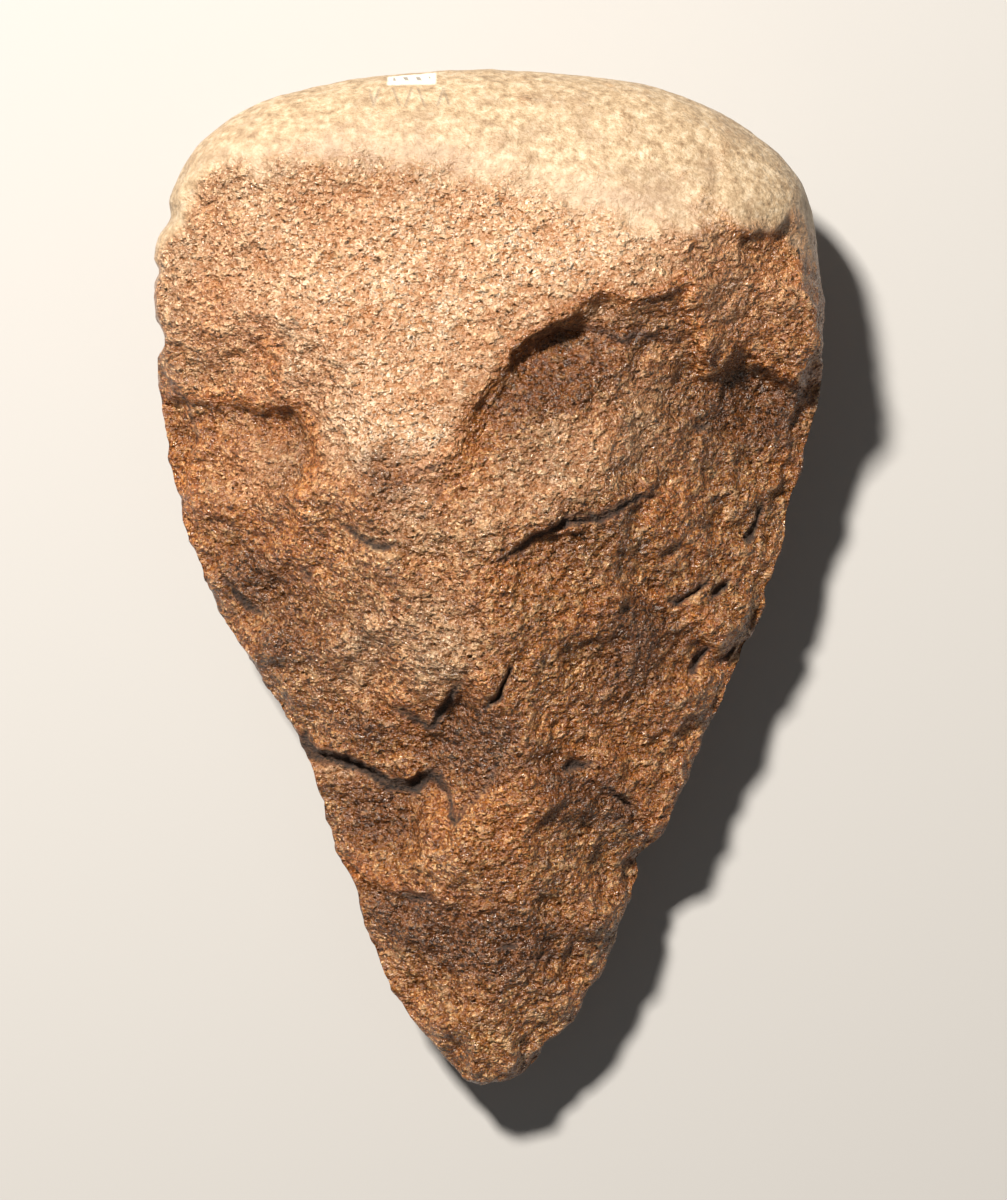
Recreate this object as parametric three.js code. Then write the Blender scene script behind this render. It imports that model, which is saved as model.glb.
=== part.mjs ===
// Stone hand axe: a large pointed hand axe of quartzite, flaked over both faces, with the smooth
// skin of the pebble left on its butt. It lies on the flatter of its two faces.
//
// Millimetres, +Z up. X runs across the stone and Y along it, from the tip (-Y) to the butt (+Y).
// The origin is on the ground, under the middle of the outline.
//
// The stone is one solid. Its outline is two edge curves that run from the tip to the butt. Each
// face starts as the rounded skin of the pebble, and facets, flake scars and steps are taken off
// it, in the way the stone was worked. Places on a face are shares of the stone's own size, in
// percent: [across from its left side, along from its tip].

import * as THREE from "three";
import { mergeVertices } from "three/addons/utils/BufferGeometryUtils.js";

// Overall size
const LENGTH = 170; // from the tip to the butt
const WIDTH = 111.5; // across the shoulders
const UPPER_RISE = 27; // full height of the upper face over the edge, as a pebble
const EDGE_HEIGHT = 21; // edge over the ground at the middle of the stone
const RESTING_FLAT_CUT = 2.4; // how far the resting flat is cut into the belly of the lower face

// The pebble's skin
const BUTT_ROUNDING = 54; // how far in from the butt the skin curves over
const SIDE_ROUNDING = 26; // the same along the sides, before they were flaked
const SKIN_SQUARENESS = 2.3; // 2 makes the skin's curve round, and more makes it squarer
const NARROW_ROUNDING_SHARE = 0.82; // of the half width, where the stone is narrower than that

// The working
const SCAR_HOLLOW = 1.2; // how much lower the middle of a flake scar is than its sides
const SCAR_REACH = 24; // length over which a flake scar sags
const RIDGE_SOFTNESS = 1; // height over which the ridge between two scars is worn
const STEP_FACE = 3; // width of the steep face of a step
const STEP_BLEND = 1.6; // how far a step's corners are rounded into each other
const STEP_FADE = 2.2; // a step's drop is gone at this many times its run
const SWELL_EDGE = 8; // swells and hollows die out this close to the edge
const EDGE_WAVE = 1; // height of the edge's waves, where flakes came off its two faces in turn
const EDGE_WAVE_LENGTH = 19;
const EDGE_WAVE_FADE = 9; // how far in from the edge the waves die out
const LEAST_WEDGE = 0.3; // least slope of a face behind the edge

// The mesh: slices across each face and stacks along the stone
const UPPER_SLICES = 40;
const LOWER_SLICES = 24;
const STACKS = 76;
const EVEN_SPACING = 0.6; // 1 spaces the slices evenly across a face, 0 gathers them at the edges
const OUTLINE_STEPS = 240;
const PATH_STEPS_PER_POINT = 5;
const PERCENT = 100;

// The lists below give millimetres on a stone this long. They grow with the stone.
const LISTED_LENGTH = 170;
const GROWTH = LENGTH / LISTED_LENGTH;

// The two edges, from the tip to the middle of the butt
const LEFT_EDGE = [
  [49.7, 0], [47.1, 0.3], [44.4, 2.2], [38.7, 6], [33.9, 11.6], [30, 18], [26.1, 25.8],
  [21.6, 34.3], [15.3, 41.1], [9.2, 47.5], [4.8, 54.9], [2.3, 61.8], [0.7, 69.2], [0.1, 76.6],
  [0.3, 82.5], [2.9, 88.4], [7.4, 93.1], [15.9, 96.7], [26.9, 98.6], [38.1, 99.6], [50.2, 100],
];
const RIGHT_EDGE = [
  [49.7, 0], [52.7, 0.5], [56.6, 2.2], [61.6, 5.7], [66.1, 10.1], [69.7, 16], [72.7, 21.3],
  [76.3, 25.6], [81.1, 32.7], [86.5, 40.6], [91, 47.4], [94.4, 54.4], [96.8, 61.8],
  [99.2, 67.7], [99.9, 72.6], [99.5, 79.5], [97.6, 87.4], [92.5, 92.1], [83.5, 96],
  [72.7, 98.5], [60.7, 99.5], [50.2, 100],
];

// Small bites out of the edges: how far along, and how deep and long in millimetres
const LEFT_BITES = [
  { along: 85.4, depth: 1.3, length: 7 },
  { along: 80.1, depth: 0.9, length: 4 },
  { along: 73.4, depth: 1.2, length: 9 },
  { along: 19.5, depth: 0.8, length: 9 },
  { along: 4.4, depth: 0.7, length: 8 },
];
const RIGHT_BITES = [
  { along: 57.4, depth: 0.8, length: 8 },
  { along: 49.5, depth: 0.6, length: 8 },
  { along: 22.8, depth: 1.6, length: 6 },
  { along: 8.6, depth: 0.9, length: 7 },
  { along: 4.1, depth: 1.4, length: 6 },
];

// Heights along the stone, evenly spaced from the tip to the butt, as shares of a full height
const UPPER_CROWN = [0.15, 0.4, 0.58, 0.76, 0.92, 1, 1, 1, 0.97];
const LOWER_CROWN = [0.2, 0.5, 0.76, 0.92, 0.99, 1, 1, 0.97, 0.92];
const EDGE_LIFT = [0.72, 0.8, 0.87, 0.93, 0.98, 1.02, 1.06, 1.1, 1.12];

// Flake scars struck inwards from the edges: how far along, the width, how high over the edge the
// scar starts, its bevel to the ground in degrees, and how much it sags between its ends
const UPPER_SCARS = {
  left: [
    { along: 80, width: 42, start: 8, bevel: 24, sag: -0.6 },
    { along: 62.3, width: 20, start: 4.5, bevel: 25, sag: 0.9 },
    { along: 53, width: 12, start: 3, bevel: 33, sag: 0.6 },
    { along: 44, width: 19, start: 2.5, bevel: 31, sag: 0.9 },
    { along: 35.5, width: 13, start: 2, bevel: 31, sag: 0.6 },
    { along: 26.5, width: 19, start: 2.5, bevel: 23, sag: 0.6 },
    { along: 17, width: 12, start: 1.5, bevel: 31, sag: 0.6 },
    { along: 9, width: 13, start: 1.5, bevel: 25, sag: 0.4 },
  ],
  right: [
    { along: 76, width: 22, start: 11, bevel: 30, sag: 1 },
    { along: 63, width: 22, start: 4, bevel: 27, sag: 1.2 },
    { along: 54, width: 12, start: 3, bevel: 33, sag: 0.6 },
    { along: 47, width: 14, start: 3, bevel: 31, sag: 0.8 },
    { along: 39, width: 14, start: 2.5, bevel: 33, sag: 0.6 },
    { along: 30, width: 19, start: 2.5, bevel: 25, sag: 0.6 },
    { along: 20, width: 13, start: 2, bevel: 30, sag: 0.6 },
    { along: 12, width: 12, start: 1.5, bevel: 30, sag: 0.5 },
    { along: 5, width: 9, start: 1, bevel: 30, sag: 0.3 },
  ],
};
const LOWER_SCARS = {
  left: [
    { along: 80, width: 22, start: 3, bevel: 38, sag: 0.9 },
    { along: 67, width: 22, start: 2, bevel: 33, sag: 0.9 },
    { along: 54, width: 19, start: 2, bevel: 36, sag: 0.9 },
    { along: 42, width: 21, start: 2, bevel: 34, sag: 0.9 },
    { along: 30, width: 18, start: 1.5, bevel: 35, sag: 0.7 },
    { along: 19, width: 16, start: 1, bevel: 31, sag: 0.6 },
    { along: 9, width: 14, start: 1, bevel: 28, sag: 0.4 },
  ],
  right: [
    { along: 83, width: 17, start: 4, bevel: 40, sag: 0.7 },
    { along: 72, width: 20, start: 2, bevel: 36, sag: 0.9 },
    { along: 59, width: 22, start: 2, bevel: 33, sag: 0.9 },
    { along: 46, width: 19, start: 2, bevel: 36, sag: 0.8 },
    { along: 35, width: 17, start: 1.5, bevel: 35, sag: 0.8 },
    { along: 24, width: 18, start: 1.5, bevel: 32, sag: 0.7 },
    { along: 12, width: 16, start: 1, bevel: 29, sag: 0.4 },
  ],
};

// Broad facets: a point on each, its height there as a share of the face's full height, and how
// many degrees it rises towards the right side and towards the butt
const UPPER_FACETS = [
  { at: [38, 76], height: 0.807, riseRight: 5.5, riseButt: -5.5 },
  { at: [30, 42], height: 0.607, riseRight: 8, riseButt: 11 },
  { at: [66, 40], height: 0.615, riseRight: -9, riseButt: 10 },
  { at: [50, 14], height: 0.348, riseRight: 0, riseButt: 12 },
];
const LOWER_FACETS = [
  { at: [30, 84], height: 0.94, riseRight: 6, riseButt: -11 },
  { at: [50, 22], height: 0.66, riseRight: -3, riseButt: 9 },
];

// Low swells and hollows: the middle, half the length and width in millimetres, the direction of
// the length in degrees from X, and the height
const UPPER_SWELLS = [
  { at: [49, 46], halfLength: 20, halfWidth: 7, turn: 80, height: 1.6 },
  { at: [66.7, 58.9], halfLength: 22, halfWidth: 7, turn: 28, height: 1.8 },
  { at: [62, 70.5], halfLength: 16, halfWidth: 5.5, turn: 18, height: 2.4 },
  { at: [76, 45], halfLength: 10, halfWidth: 7, turn: 0, height: -1 },
  { at: [70, 33.5], halfLength: 12, halfWidth: 8, turn: -20, height: 1.3 },
  { at: [48, 35], halfLength: 7, halfWidth: 4, turn: 70, height: -1.1 },
  { at: [34, 35.5], halfLength: 9, halfWidth: 5, turn: -10, height: 1.2 },
  { at: [15, 45.5], halfLength: 10, halfWidth: 6, turn: -50, height: -1.2 },
  { at: [42, 25], halfLength: 13, halfWidth: 7, turn: 5, height: 0.9 },
  { at: [36, 16.5], halfLength: 7, halfWidth: 4, turn: 0, height: -0.8 },
  { at: [62, 17], halfLength: 7, halfWidth: 3.5, turn: 75, height: 0.8 },
  { at: [53, 15], halfLength: 5, halfWidth: 4, turn: 20, height: -0.8 },
  { at: [88, 79], halfLength: 11, halfWidth: 2.5, turn: 85, height: 0.9 },
  { at: [33.6, 34.7], halfLength: 9, halfWidth: 4, turn: -15, height: 1 },
  { at: [36.6, 22.4], halfLength: 9, halfWidth: 4, turn: -10, height: 0.9 },
  { at: [50, 62.5], halfLength: 8, halfWidth: 5, turn: 40, height: -0.8 },
  { at: [89, 68], halfLength: 9, halfWidth: 4, turn: 0, height: 1.6 },
  { at: [22, 45], halfLength: 12, halfWidth: 5, turn: 70, height: -1.3 },
  { at: [66, 24], halfLength: 8, halfWidth: 5, turn: 40, height: 1.2 },
  { at: [52, 37], halfLength: 8, halfWidth: 5, turn: -20, height: 1.3 },
];
const LOWER_SWELLS = [
  { at: [45, 55], halfLength: 30, halfWidth: 14, turn: 80, height: -1 },
  { at: [30, 30], halfLength: 16, halfWidth: 7, turn: -30, height: 0.8 },
];

// Steps across a face. A path runs with the lower ground on its right, and each of its points is
// [across, along, drop in millimetres]. The drop dies out over a few runs.
const GREAT_SCARP = {
  run: 24,
  face: 1.3,
  path: [
    [36.6, 59.4, 0], [44.1, 62.3, 1.4], [48.6, 67.7, 2.6], [53.2, 71.4, 4], [57.4, 73.8, 5],
    [61.7, 75.9, 4.6], [67.4, 77.4, 4.2], [72.7, 77.2, 4.2], [77.3, 77.2, 4],
    [80.2, 75.1, 3.4], [82.5, 72.6, 3.4], [86.6, 71.4, 4],
    [90.1, 70.2, 3.6], [93.1, 69.7, 2.8], [96.8, 70.2, 1.8], [100.3, 70.2, 1],
  ],
};
const SCARP_FOOT = {
  run: 9,
  face: 1.3,
  path: [[53, 69.5, 0], [59.5, 73, 1.6], [67, 73.5, 2.3], [74, 73, 1.8], [81, 71.5, 0]],
};
const LEFT_SCAR_RIM = {
  run: 16,
  face: 1,
  path: [
    [0.8, 69, 0.8], [6, 67.4, 1.6], [12.9, 67.6, 2], [18.5, 66.7, 2.3], [23.9, 64.3, 2.5],
    [24.6, 62.3, 2.2], [22.7, 58.9, 1.4], [22.4, 54.9, 0],
  ],
};
const LEFT_LOWER_RIM = {
  run: 13,
  face: 1,
  path: [[4.7, 56.1, 0.8], [8.4, 56.4, 1.5], [15, 56.6, 1.9], [18.6, 53.8, 1.6], [21, 50.5, 0]],
};
const TONGUE = {
  run: 12,
  face: 0.8,
  path: [[36.3, 37.6, 0.5], [40.8, 35.5, 2.3], [42.5, 37.1, 2.7], [44.3, 39, 2.3], [48.6, 40.5, 0]],
};
const LOWER_STEP = {
  run: 12,
  face: 0.9,
  path: [
    [21, 34.6, 0.8], [23.1, 32.7, 2.3], [27.5, 32.6, 3.2], [33.3, 30.8, 3.4], [35.4, 29.5, 3.4],
    [41.3, 30.8, 2.7], [44.7, 28.2, 1.5], [45.5, 26.9, 0],
  ],
};
const TERRACE = {
  run: 15,
  face: 1,
  path: [[26.6, 23, 1.1], [31.7, 20.8, 2.4], [35.9, 19.8, 2.7], [42.9, 19.2, 2.2], [52, 18, 0]],
};
const RIGHT_LOWER_HOLLOW = {
  run: 12,
  face: 1.2,
  path: [[61.6, 31.1, 0], [66.7, 29.8, 1.6], [72.7, 28.1, 2.1], [76.8, 24.2, 1.3]],
};
const RIGHT_MIDDLE_HOLLOW = {
  run: 14,
  face: 1.2,
  path: [[60, 46, 0], [64.9, 46.9, 1.2], [72.7, 48, 1.8], [80.2, 46.9, 1.6], [85.3, 43.6, 0.5]],
};
const LONG_SPLIT = {
  run: 18,
  face: 0.7,
  path: [
    [50.8, 51.9, 0], [53.8, 52.5, 1.2], [60.1, 54.5, 1.8], [65.2, 55.4, 2.1], [72.8, 58.1, 1.5],
    [76.3, 58, 0],
  ],
};
const SKIN_REMNANT = {
  run: 9,
  face: 0.9,
  path: [
    [84.8, 88, 0], [85, 85, 1.2], [86.6, 83.6, 1.8], [91.9, 83.2, 1.9], [93.6, 85.6, 1],
    [94, 88, 0],
  ],
};
const BELLY_STEP = {
  run: 20,
  face: 1,
  path: [[20, 62, 0], [30, 66, 1.4], [40, 72, 1.9], [52, 75, 1.6], [63, 74, 0]],
};
const BELLY_TIP_STEP = {
  run: 16,
  face: 1,
  path: [[34, 26, 0], [42, 23, 1.3], [52, 24, 1.5], [61, 28, 0]],
};

const { degToRad, clamp, lerp } = THREE.MathUtils;

function smooth(t) {
  const share = clamp(t, 0, 1);
  return share * share * (3 - 2 * share);
}

// A place given in shares, in millimetres on the ground plan
function place([across, along]) {
  return new THREE.Vector2((across / PERCENT - 0.5) * WIDTH, (along / PERCENT - 0.5) * LENGTH);
}

// A curve through values that are evenly spaced from the tip to the butt
function profile(values) {
  return new THREE.SplineCurve(values.map((value, i) => new THREE.Vector2(i, value)));
}

function profileAt(curve, y) {
  return curve.getPoint(clamp(y / LENGTH + 0.5, 0, 1)).y;
}

// How far the bites take the edge in, at a place y along the stone
function biteDepth(bites, y) {
  return bites.reduce((depth, bite) => {
    const off = (y - place([0, bite.along]).y) / ((bite.length * GROWTH) / 2);
    return Math.abs(off) < 1 ? depth + bite.depth * GROWTH * (1 - off * off) ** 2 : depth;
  }, 0);
}

// One edge as evenly spaced points, with its bites; inwards is +1 on the left and -1 on the right
function edgePoints(shares, bites, inwards) {
  const curve = new THREE.SplineCurve(shares.map(place));
  curve.arcLengthDivisions = 4 * OUTLINE_STEPS;
  return curve.getSpacedPoints(OUTLINE_STEPS).map((point) => {
    point.x += inwards * biteDepth(bites, point.y);
    return point;
  });
}

// Both edges, fitted to the stone's length and width
function outline() {
  const left = edgePoints(LEFT_EDGE, LEFT_BITES, 1);
  const right = edgePoints(RIGHT_EDGE, RIGHT_BITES, -1);
  const box = new THREE.Box2().setFromPoints([...left, ...right]);
  const middle = box.getCenter(new THREE.Vector2());
  const fit = new THREE.Vector2(WIDTH, LENGTH).divide(box.getSize(new THREE.Vector2()));
  for (const point of [...left, ...right]) point.sub(middle).multiply(fit);
  return { left, right, all: [...left, ...right.toReversed()] };
}
const EDGES = outline();

// The point at share t of an edge's length
function pointOnEdge(points, t) {
  const at = clamp(t, 0, 1) * (points.length - 1);
  const first = Math.min(Math.floor(at), points.length - 2);
  return points[first].clone().lerp(points[first + 1], at - first);
}

// The edge point nearest to a place y along the stone
function edgeAt(points, y) {
  return points.reduce((a, b) => (Math.abs(b.y - y) < Math.abs(a.y - y) ? b : a));
}

function distanceToEdge(p) {
  let least = Infinity;
  for (let i = 0; i + 1 < EDGES.all.length; i++) {
    const a = EDGES.all[i];
    const b = EDGES.all[i + 1];
    const bx = b.x - a.x;
    const by = b.y - a.y;
    const t = clamp(((p.x - a.x) * bx + (p.y - a.y) * by) / (bx * bx + by * by || 1), 0, 1);
    least = Math.min(least, Math.hypot(p.x - a.x - t * bx, p.y - a.y - t * by));
  }
  return least;
}

// The smaller of two heights, with a worn ridge between them
function softMin(a, b) {
  const near = Math.max(RIDGE_SOFTNESS - Math.abs(a - b), 0) / RIDGE_SOFTNESS;
  return Math.min(a, b) - (near * near * RIDGE_SOFTNESS) / 4;
}

// The scars of one face, each struck from its edge towards the stone's middle line
function struckScars(scars) {
  return ["left", "right"].flatMap((side) =>
    scars[side].map((scar) => {
      const from = edgeAt(EDGES[side], place([0, scar.along]).y);
      const towards = new THREE.Vector2(0, from.y * 0.82 + LENGTH * 0.03).sub(from).normalize();
      return {
        from,
        towards,
        slope: Math.tan(degToRad(scar.bevel)),
        width: scar.width * GROWTH,
        start: scar.start * GROWTH,
        sag: scar.sag * GROWTH,
      };
    }),
  );
}

function scarHeight(scar, p) {
  const dx = p.x - scar.from.x;
  const dy = p.y - scar.from.y;
  const inwards = dx * scar.towards.x + dy * scar.towards.y;
  const aside = dx * scar.towards.y - dy * scar.towards.x;
  const hollow = SCAR_HOLLOW * ((2 * aside) / scar.width) ** 2;
  const share = inwards / SCAR_REACH;
  return scar.start + scar.slope * inwards + hollow - 4 * scar.sag * share * (1 - share);
}

function facetHeight(facet, fullHeight, p) {
  const at = place(facet.at);
  return (
    facet.height * fullHeight +
    Math.tan(degToRad(facet.riseRight)) * (p.x - at.x) +
    Math.tan(degToRad(facet.riseButt)) * (p.y - at.y)
  );
}

function swellHeight(swell, p) {
  const off = p.clone().sub(place(swell.at)).rotateAround(new THREE.Vector2(), -degToRad(swell.turn));
  off.divideScalar(GROWTH);
  const far = (off.x / swell.halfLength) ** 2 + (off.y / swell.halfWidth) ** 2;
  return swell.height * GROWTH * Math.exp(-1.5 * far);
}

// A step's path as a smooth chain of points, each with its drop and its direction
function stepChain(step) {
  const points = step.path.map(([across, along, drop]) => {
    const at = place([across, along]);
    return new THREE.Vector3(at.x, at.y, drop * GROWTH);
  });
  const curve = new THREE.CatmullRomCurve3(points, false, "catmullrom", 0.5);
  const steps = points.length * PATH_STEPS_PER_POINT;
  const links = curve.getPoints(steps).map((point, i) => {
    const direction = curve.getTangent(i / steps);
    const flat = Math.hypot(direction.x, direction.y) || 1;
    const drop = Math.max(point.z, 0);
    return { x: point.x, y: point.y, drop, dx: direction.x / flat, dy: direction.y / flat };
  });
  return { links, run: step.run * GROWTH, face: step.face * STEP_FACE };
}

// How far a step lowers the ground at a place: each link of its chain has a say, the near ones most
function stepDrop(chain, p) {
  let least = Infinity;
  for (const link of chain.links) least = Math.min(least, Math.hypot(p.x - link.x, p.y - link.y));
  if (least > STEP_FADE * chain.run) return 0;
  let total = 0;
  let weights = 0;
  for (const link of chain.links) {
    const ox = p.x - link.x;
    const oy = p.y - link.y;
    const weight = Math.exp((least - Math.hypot(ox, oy)) / STEP_BLEND);
    total += weight * link.drop * smooth((ox * link.dy - oy * link.dx) / chain.face);
    weights += weight;
  }
  return (total / weights) * (1 - smooth(least / (STEP_FADE * chain.run)));
}

const UPPER = {
  fullHeight: UPPER_RISE,
  crown: profile(UPPER_CROWN),
  scars: struckScars(UPPER_SCARS),
  facets: UPPER_FACETS,
  swells: UPPER_SWELLS,
  steps: [
    GREAT_SCARP, SCARP_FOOT, LEFT_SCAR_RIM, LEFT_LOWER_RIM, TONGUE, LOWER_STEP, TERRACE,
    RIGHT_LOWER_HOLLOW, RIGHT_MIDDLE_HOLLOW, LONG_SPLIT, SKIN_REMNANT,
  ].map(stepChain),
};
const LOWER = {
  fullHeight: EDGE_HEIGHT + RESTING_FLAT_CUT,
  crown: profile(LOWER_CROWN),
  scars: struckScars(LOWER_SCARS),
  facets: LOWER_FACETS,
  swells: LOWER_SWELLS,
  steps: [BELLY_STEP, BELLY_TIP_STEP].map(stepChain),
};
const LIFT = profile(EDGE_LIFT);

// The pebble's skin over one face, at a distance in from the edge
function skinHeight(face, p, distance) {
  const width = edgeAt(EDGES.right, p.y).x - edgeAt(EDGES.left, p.y).x;
  const wide = lerp(SIDE_ROUNDING, BUTT_ROUNDING, smooth((p.y / LENGTH - 0.22) / 0.2));
  const narrow = Math.max((NARROW_ROUNDING_SHARE * width) / 2, 1);
  const rounding = p.y > 0 ? wide : Math.min(wide, narrow);
  const out = 1 - Math.min(distance / rounding, 1);
  const share = (1 - out ** SKIN_SQUARENESS) ** (1 / SKIN_SQUARENESS);
  return face.fullHeight * profileAt(face.crown, p.y) * share;
}

// Height of one face over the edge
function faceHeight(face, p, distance) {
  let height = skinHeight(face, p, distance);
  for (const facet of face.facets) {
    height = softMin(height, facetHeight(facet, face.fullHeight, p));
  }
  for (const swell of face.swells) height += swellHeight(swell, p) * smooth(distance / SWELL_EDGE);
  for (const scar of face.scars) height = softMin(height, scarHeight(scar, p));
  for (const step of face.steps) height -= stepDrop(step, p);
  return Math.max(height, LEAST_WEDGE * distance);
}

// Height of the edge over the ground: it climbs from the tip to the butt, and waves along the sides
function edgeHeight(p, across, distance) {
  const along = p.y / LENGTH + 0.5;
  const sides = smooth(along / 0.1) * (1 - smooth((along - 0.45) / 0.2));
  const turn = (2 * Math.PI * p.y) / EDGE_WAVE_LENGTH;
  const left = Math.sin(turn) + 0.5 * Math.sin(1.7 * turn + 1);
  const right = Math.sin(turn + 2) + 0.5 * Math.sin(1.6 * turn);
  const wave = EDGE_WAVE * sides * lerp(left, right, (across + 1) / 2);
  return EDGE_HEIGHT * profileAt(LIFT, p.y) + wave * Math.exp(-distance / EDGE_WAVE_FADE);
}

// The stone's surface at a place on a ball, given by its slice and by its share of the way from the
// tip to the butt. The slices run over the upper face from left to right, then back underneath.
function surfacePoint(slice, t) {
  const above = slice <= UPPER_SLICES;
  const share = above ? slice / UPPER_SLICES : (UPPER_SLICES + LOWER_SLICES - slice) / LOWER_SLICES;
  const across = lerp(-Math.cos(Math.PI * share), 2 * share - 1, EVEN_SPACING);
  const p = pointOnEdge(EDGES.left, t).lerp(pointOnEdge(EDGES.right, t), (across + 1) / 2);
  const onEdge = share === 0 || share === 1;
  const distance = onEdge ? 0 : distanceToEdge(p);
  const edge = edgeHeight(p, across, distance);
  if (onEdge) return new THREE.Vector3(p.x, p.y, edge);
  const z = above ? edge + faceHeight(UPPER, p, distance) : edge - faceHeight(LOWER, p, distance);
  return new THREE.Vector3(p.x, p.y, Math.max(z, 0));
}

function stoneGeometry() {
  const slices = UPPER_SLICES + LOWER_SLICES;
  const geometry = new THREE.SphereGeometry(1, slices, STACKS);
  const position = geometry.getAttribute("position");
  for (let i = 0; i < position.count; i++) {
    const slice = (i % (slices + 1)) % slices;
    const stack = Math.floor(i / (slices + 1));
    const at = surfacePoint(slice, 1 - stack / STACKS);
    position.setXYZ(i, at.x, at.y, at.z);
  }
  geometry.deleteAttribute("normal");
  geometry.deleteAttribute("uv");
  const merged = mergeVertices(geometry, 1e-4);
  merged.computeVertexNormals();
  return merged;
}

const quartzite = new THREE.MeshStandardMaterial({
  name: "quartzite",
  color: 0xa8764f,
  roughness: 0.6,
  metalness: 0,
});

const stone = new THREE.Mesh(stoneGeometry(), quartzite);
stone.name = "hand_axe";

const handAxe = new THREE.Group();
handAxe.name = "stone_hand_axe";
handAxe.add(stone);

export default handAxe;
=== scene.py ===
# %% [markdown]
# # A stone hand axe
#
# This lesson dresses one piece of worked stone: a large pointed hand axe of quartzite. Its form
# comes from the way it was made. A knapper took a flat pebble, struck flakes off both of its faces
# and left the smooth skin of the pebble on the butt. So each face is built in that order: first
# the pebble, then the facets and flake scars, then steps and splits, and last the grain of the
# stone. Every form is a formula on the ground plan, because flake scars and steps cut each other
# as heights do: the lowest one shows.

import math

import bpy
import numpy as np
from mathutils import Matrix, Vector, noise


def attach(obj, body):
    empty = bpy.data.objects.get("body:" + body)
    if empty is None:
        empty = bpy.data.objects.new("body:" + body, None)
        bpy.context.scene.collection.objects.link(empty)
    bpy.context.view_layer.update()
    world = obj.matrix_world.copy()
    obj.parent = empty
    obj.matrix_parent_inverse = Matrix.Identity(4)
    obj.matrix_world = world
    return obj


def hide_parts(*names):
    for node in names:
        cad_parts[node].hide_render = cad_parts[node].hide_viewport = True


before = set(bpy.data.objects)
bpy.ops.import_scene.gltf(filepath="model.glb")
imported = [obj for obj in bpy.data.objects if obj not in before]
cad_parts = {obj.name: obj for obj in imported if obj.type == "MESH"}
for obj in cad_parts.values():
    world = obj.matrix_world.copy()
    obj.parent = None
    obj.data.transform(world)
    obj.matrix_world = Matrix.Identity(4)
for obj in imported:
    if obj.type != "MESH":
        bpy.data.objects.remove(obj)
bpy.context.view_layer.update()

# %% [markdown]
# ## Sizes
#
# Everything is worked out in millimetres, and turned to metres when the mesh is made. The length,
# width and edge height are those of the solid that this piece dresses. Places on a face are shares
# of the stone's own size, in percent: across from its left side, and along from its tip.

# %% Sizes of the stone
LENGTH = 170.0
WIDTH = 111.5
EDGE_HEIGHT = 21.0
MILLIMETRE = 0.001


def place(across, along):
    """A place given in shares of the stone, in millimetres on the ground plan."""
    return ((across / 100 - 0.5) * WIDTH, (along / 100 - 0.5) * LENGTH)


def smooth(t):
    """A soft ramp from 0 to 1."""
    share = np.clip(t, 0.0, 1.0)
    return share * share * (3.0 - 2.0 * share)


def spline(points, t):
    """Points of a smooth curve through the given points, at shares t of the way."""
    points = np.asarray(points, float).reshape(len(points), -1)
    last = len(points) - 1
    at = np.clip(t, 0, 1) * last
    first = np.minimum(np.floor(at).astype(int), last - 1)
    w = (at - first)[:, None]
    before, a = points[np.maximum(first - 1, 0)], points[first]
    b, after = points[first + 1], points[np.minimum(first + 2, last)]
    leave = (b - before) / 2
    arrive = (after - a) / 2
    cubic = (2 * a - 2 * b + leave + arrive) * w**3
    square = (-3 * a + 3 * b - 2 * leave - arrive) * w**2
    return cubic + square + leave * w + a


print("length and width in mm:", LENGTH, WIDTH)

# %% [markdown]
# ## The outline
#
# The outline is two edge curves from the tip to the middle of the butt. A few bites are taken out
# of them, where small flakes broke off the edge.

# %% The two edges
LEFT_EDGE = [
    (49.7, 0), (47.1, 0.3), (44.4, 2.2), (38.7, 6), (33.9, 11.6), (30, 18), (26.1, 25.8),
    (21.6, 34.3), (15.3, 41.1), (9.2, 47.5), (4.8, 54.9), (2.3, 61.8), (0.7, 69.2), (0.1, 76.6),
    (0.3, 82.5), (2.9, 88.4), (7.4, 93.1), (15.9, 96.7), (26.9, 98.6), (38.1, 99.6), (50.2, 100),
]
RIGHT_EDGE = [
    (49.7, 0), (52.7, 0.5), (56.6, 2.2), (61.6, 5.7), (66.1, 10.1), (69.7, 16), (72.7, 21.3),
    (76.3, 25.6), (81.1, 32.7), (86.5, 40.6), (91, 47.4), (94.4, 54.4), (96.8, 61.8),
    (99.2, 67.7), (99.9, 72.6), (99.5, 79.5), (97.6, 87.4), (92.5, 92.1), (83.5, 96),
    (72.7, 98.5), (60.7, 99.5), (50.2, 100),
]
# Share along, depth and length in mm
LEFT_BITES = [(85.4, 1.3, 7), (80.1, 0.9, 4), (73.4, 1.2, 9), (19.5, 0.8, 9), (4.4, 0.7, 8)]
RIGHT_BITES = [(57.4, 0.8, 8), (49.5, 0.6, 8), (22.8, 1.6, 6), (8.6, 0.9, 7), (4.1, 1.4, 6)]
OUTLINE_STEPS = 400


def edge_points(shares, bites, inwards):
    """One edge as evenly spaced points; inwards is +1 on the left and -1 on the right."""
    curve = spline([place(*share) for share in shares], np.linspace(0, 1, 10 * OUTLINE_STEPS))
    walked = np.r_[0, np.cumsum(np.hypot(*np.diff(curve, axis=0).T))]
    stops = np.linspace(0, walked[-1], OUTLINE_STEPS + 1)
    x = np.interp(stops, walked, curve[:, 0])
    y = np.interp(stops, walked, curve[:, 1])
    for along, depth, length in bites:
        off = (y - place(0, along)[1]) / (length / 2)
        x += inwards * np.where(np.abs(off) < 1, depth * (1 - off**2) ** 2, 0)
    return np.c_[x, y]


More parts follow.
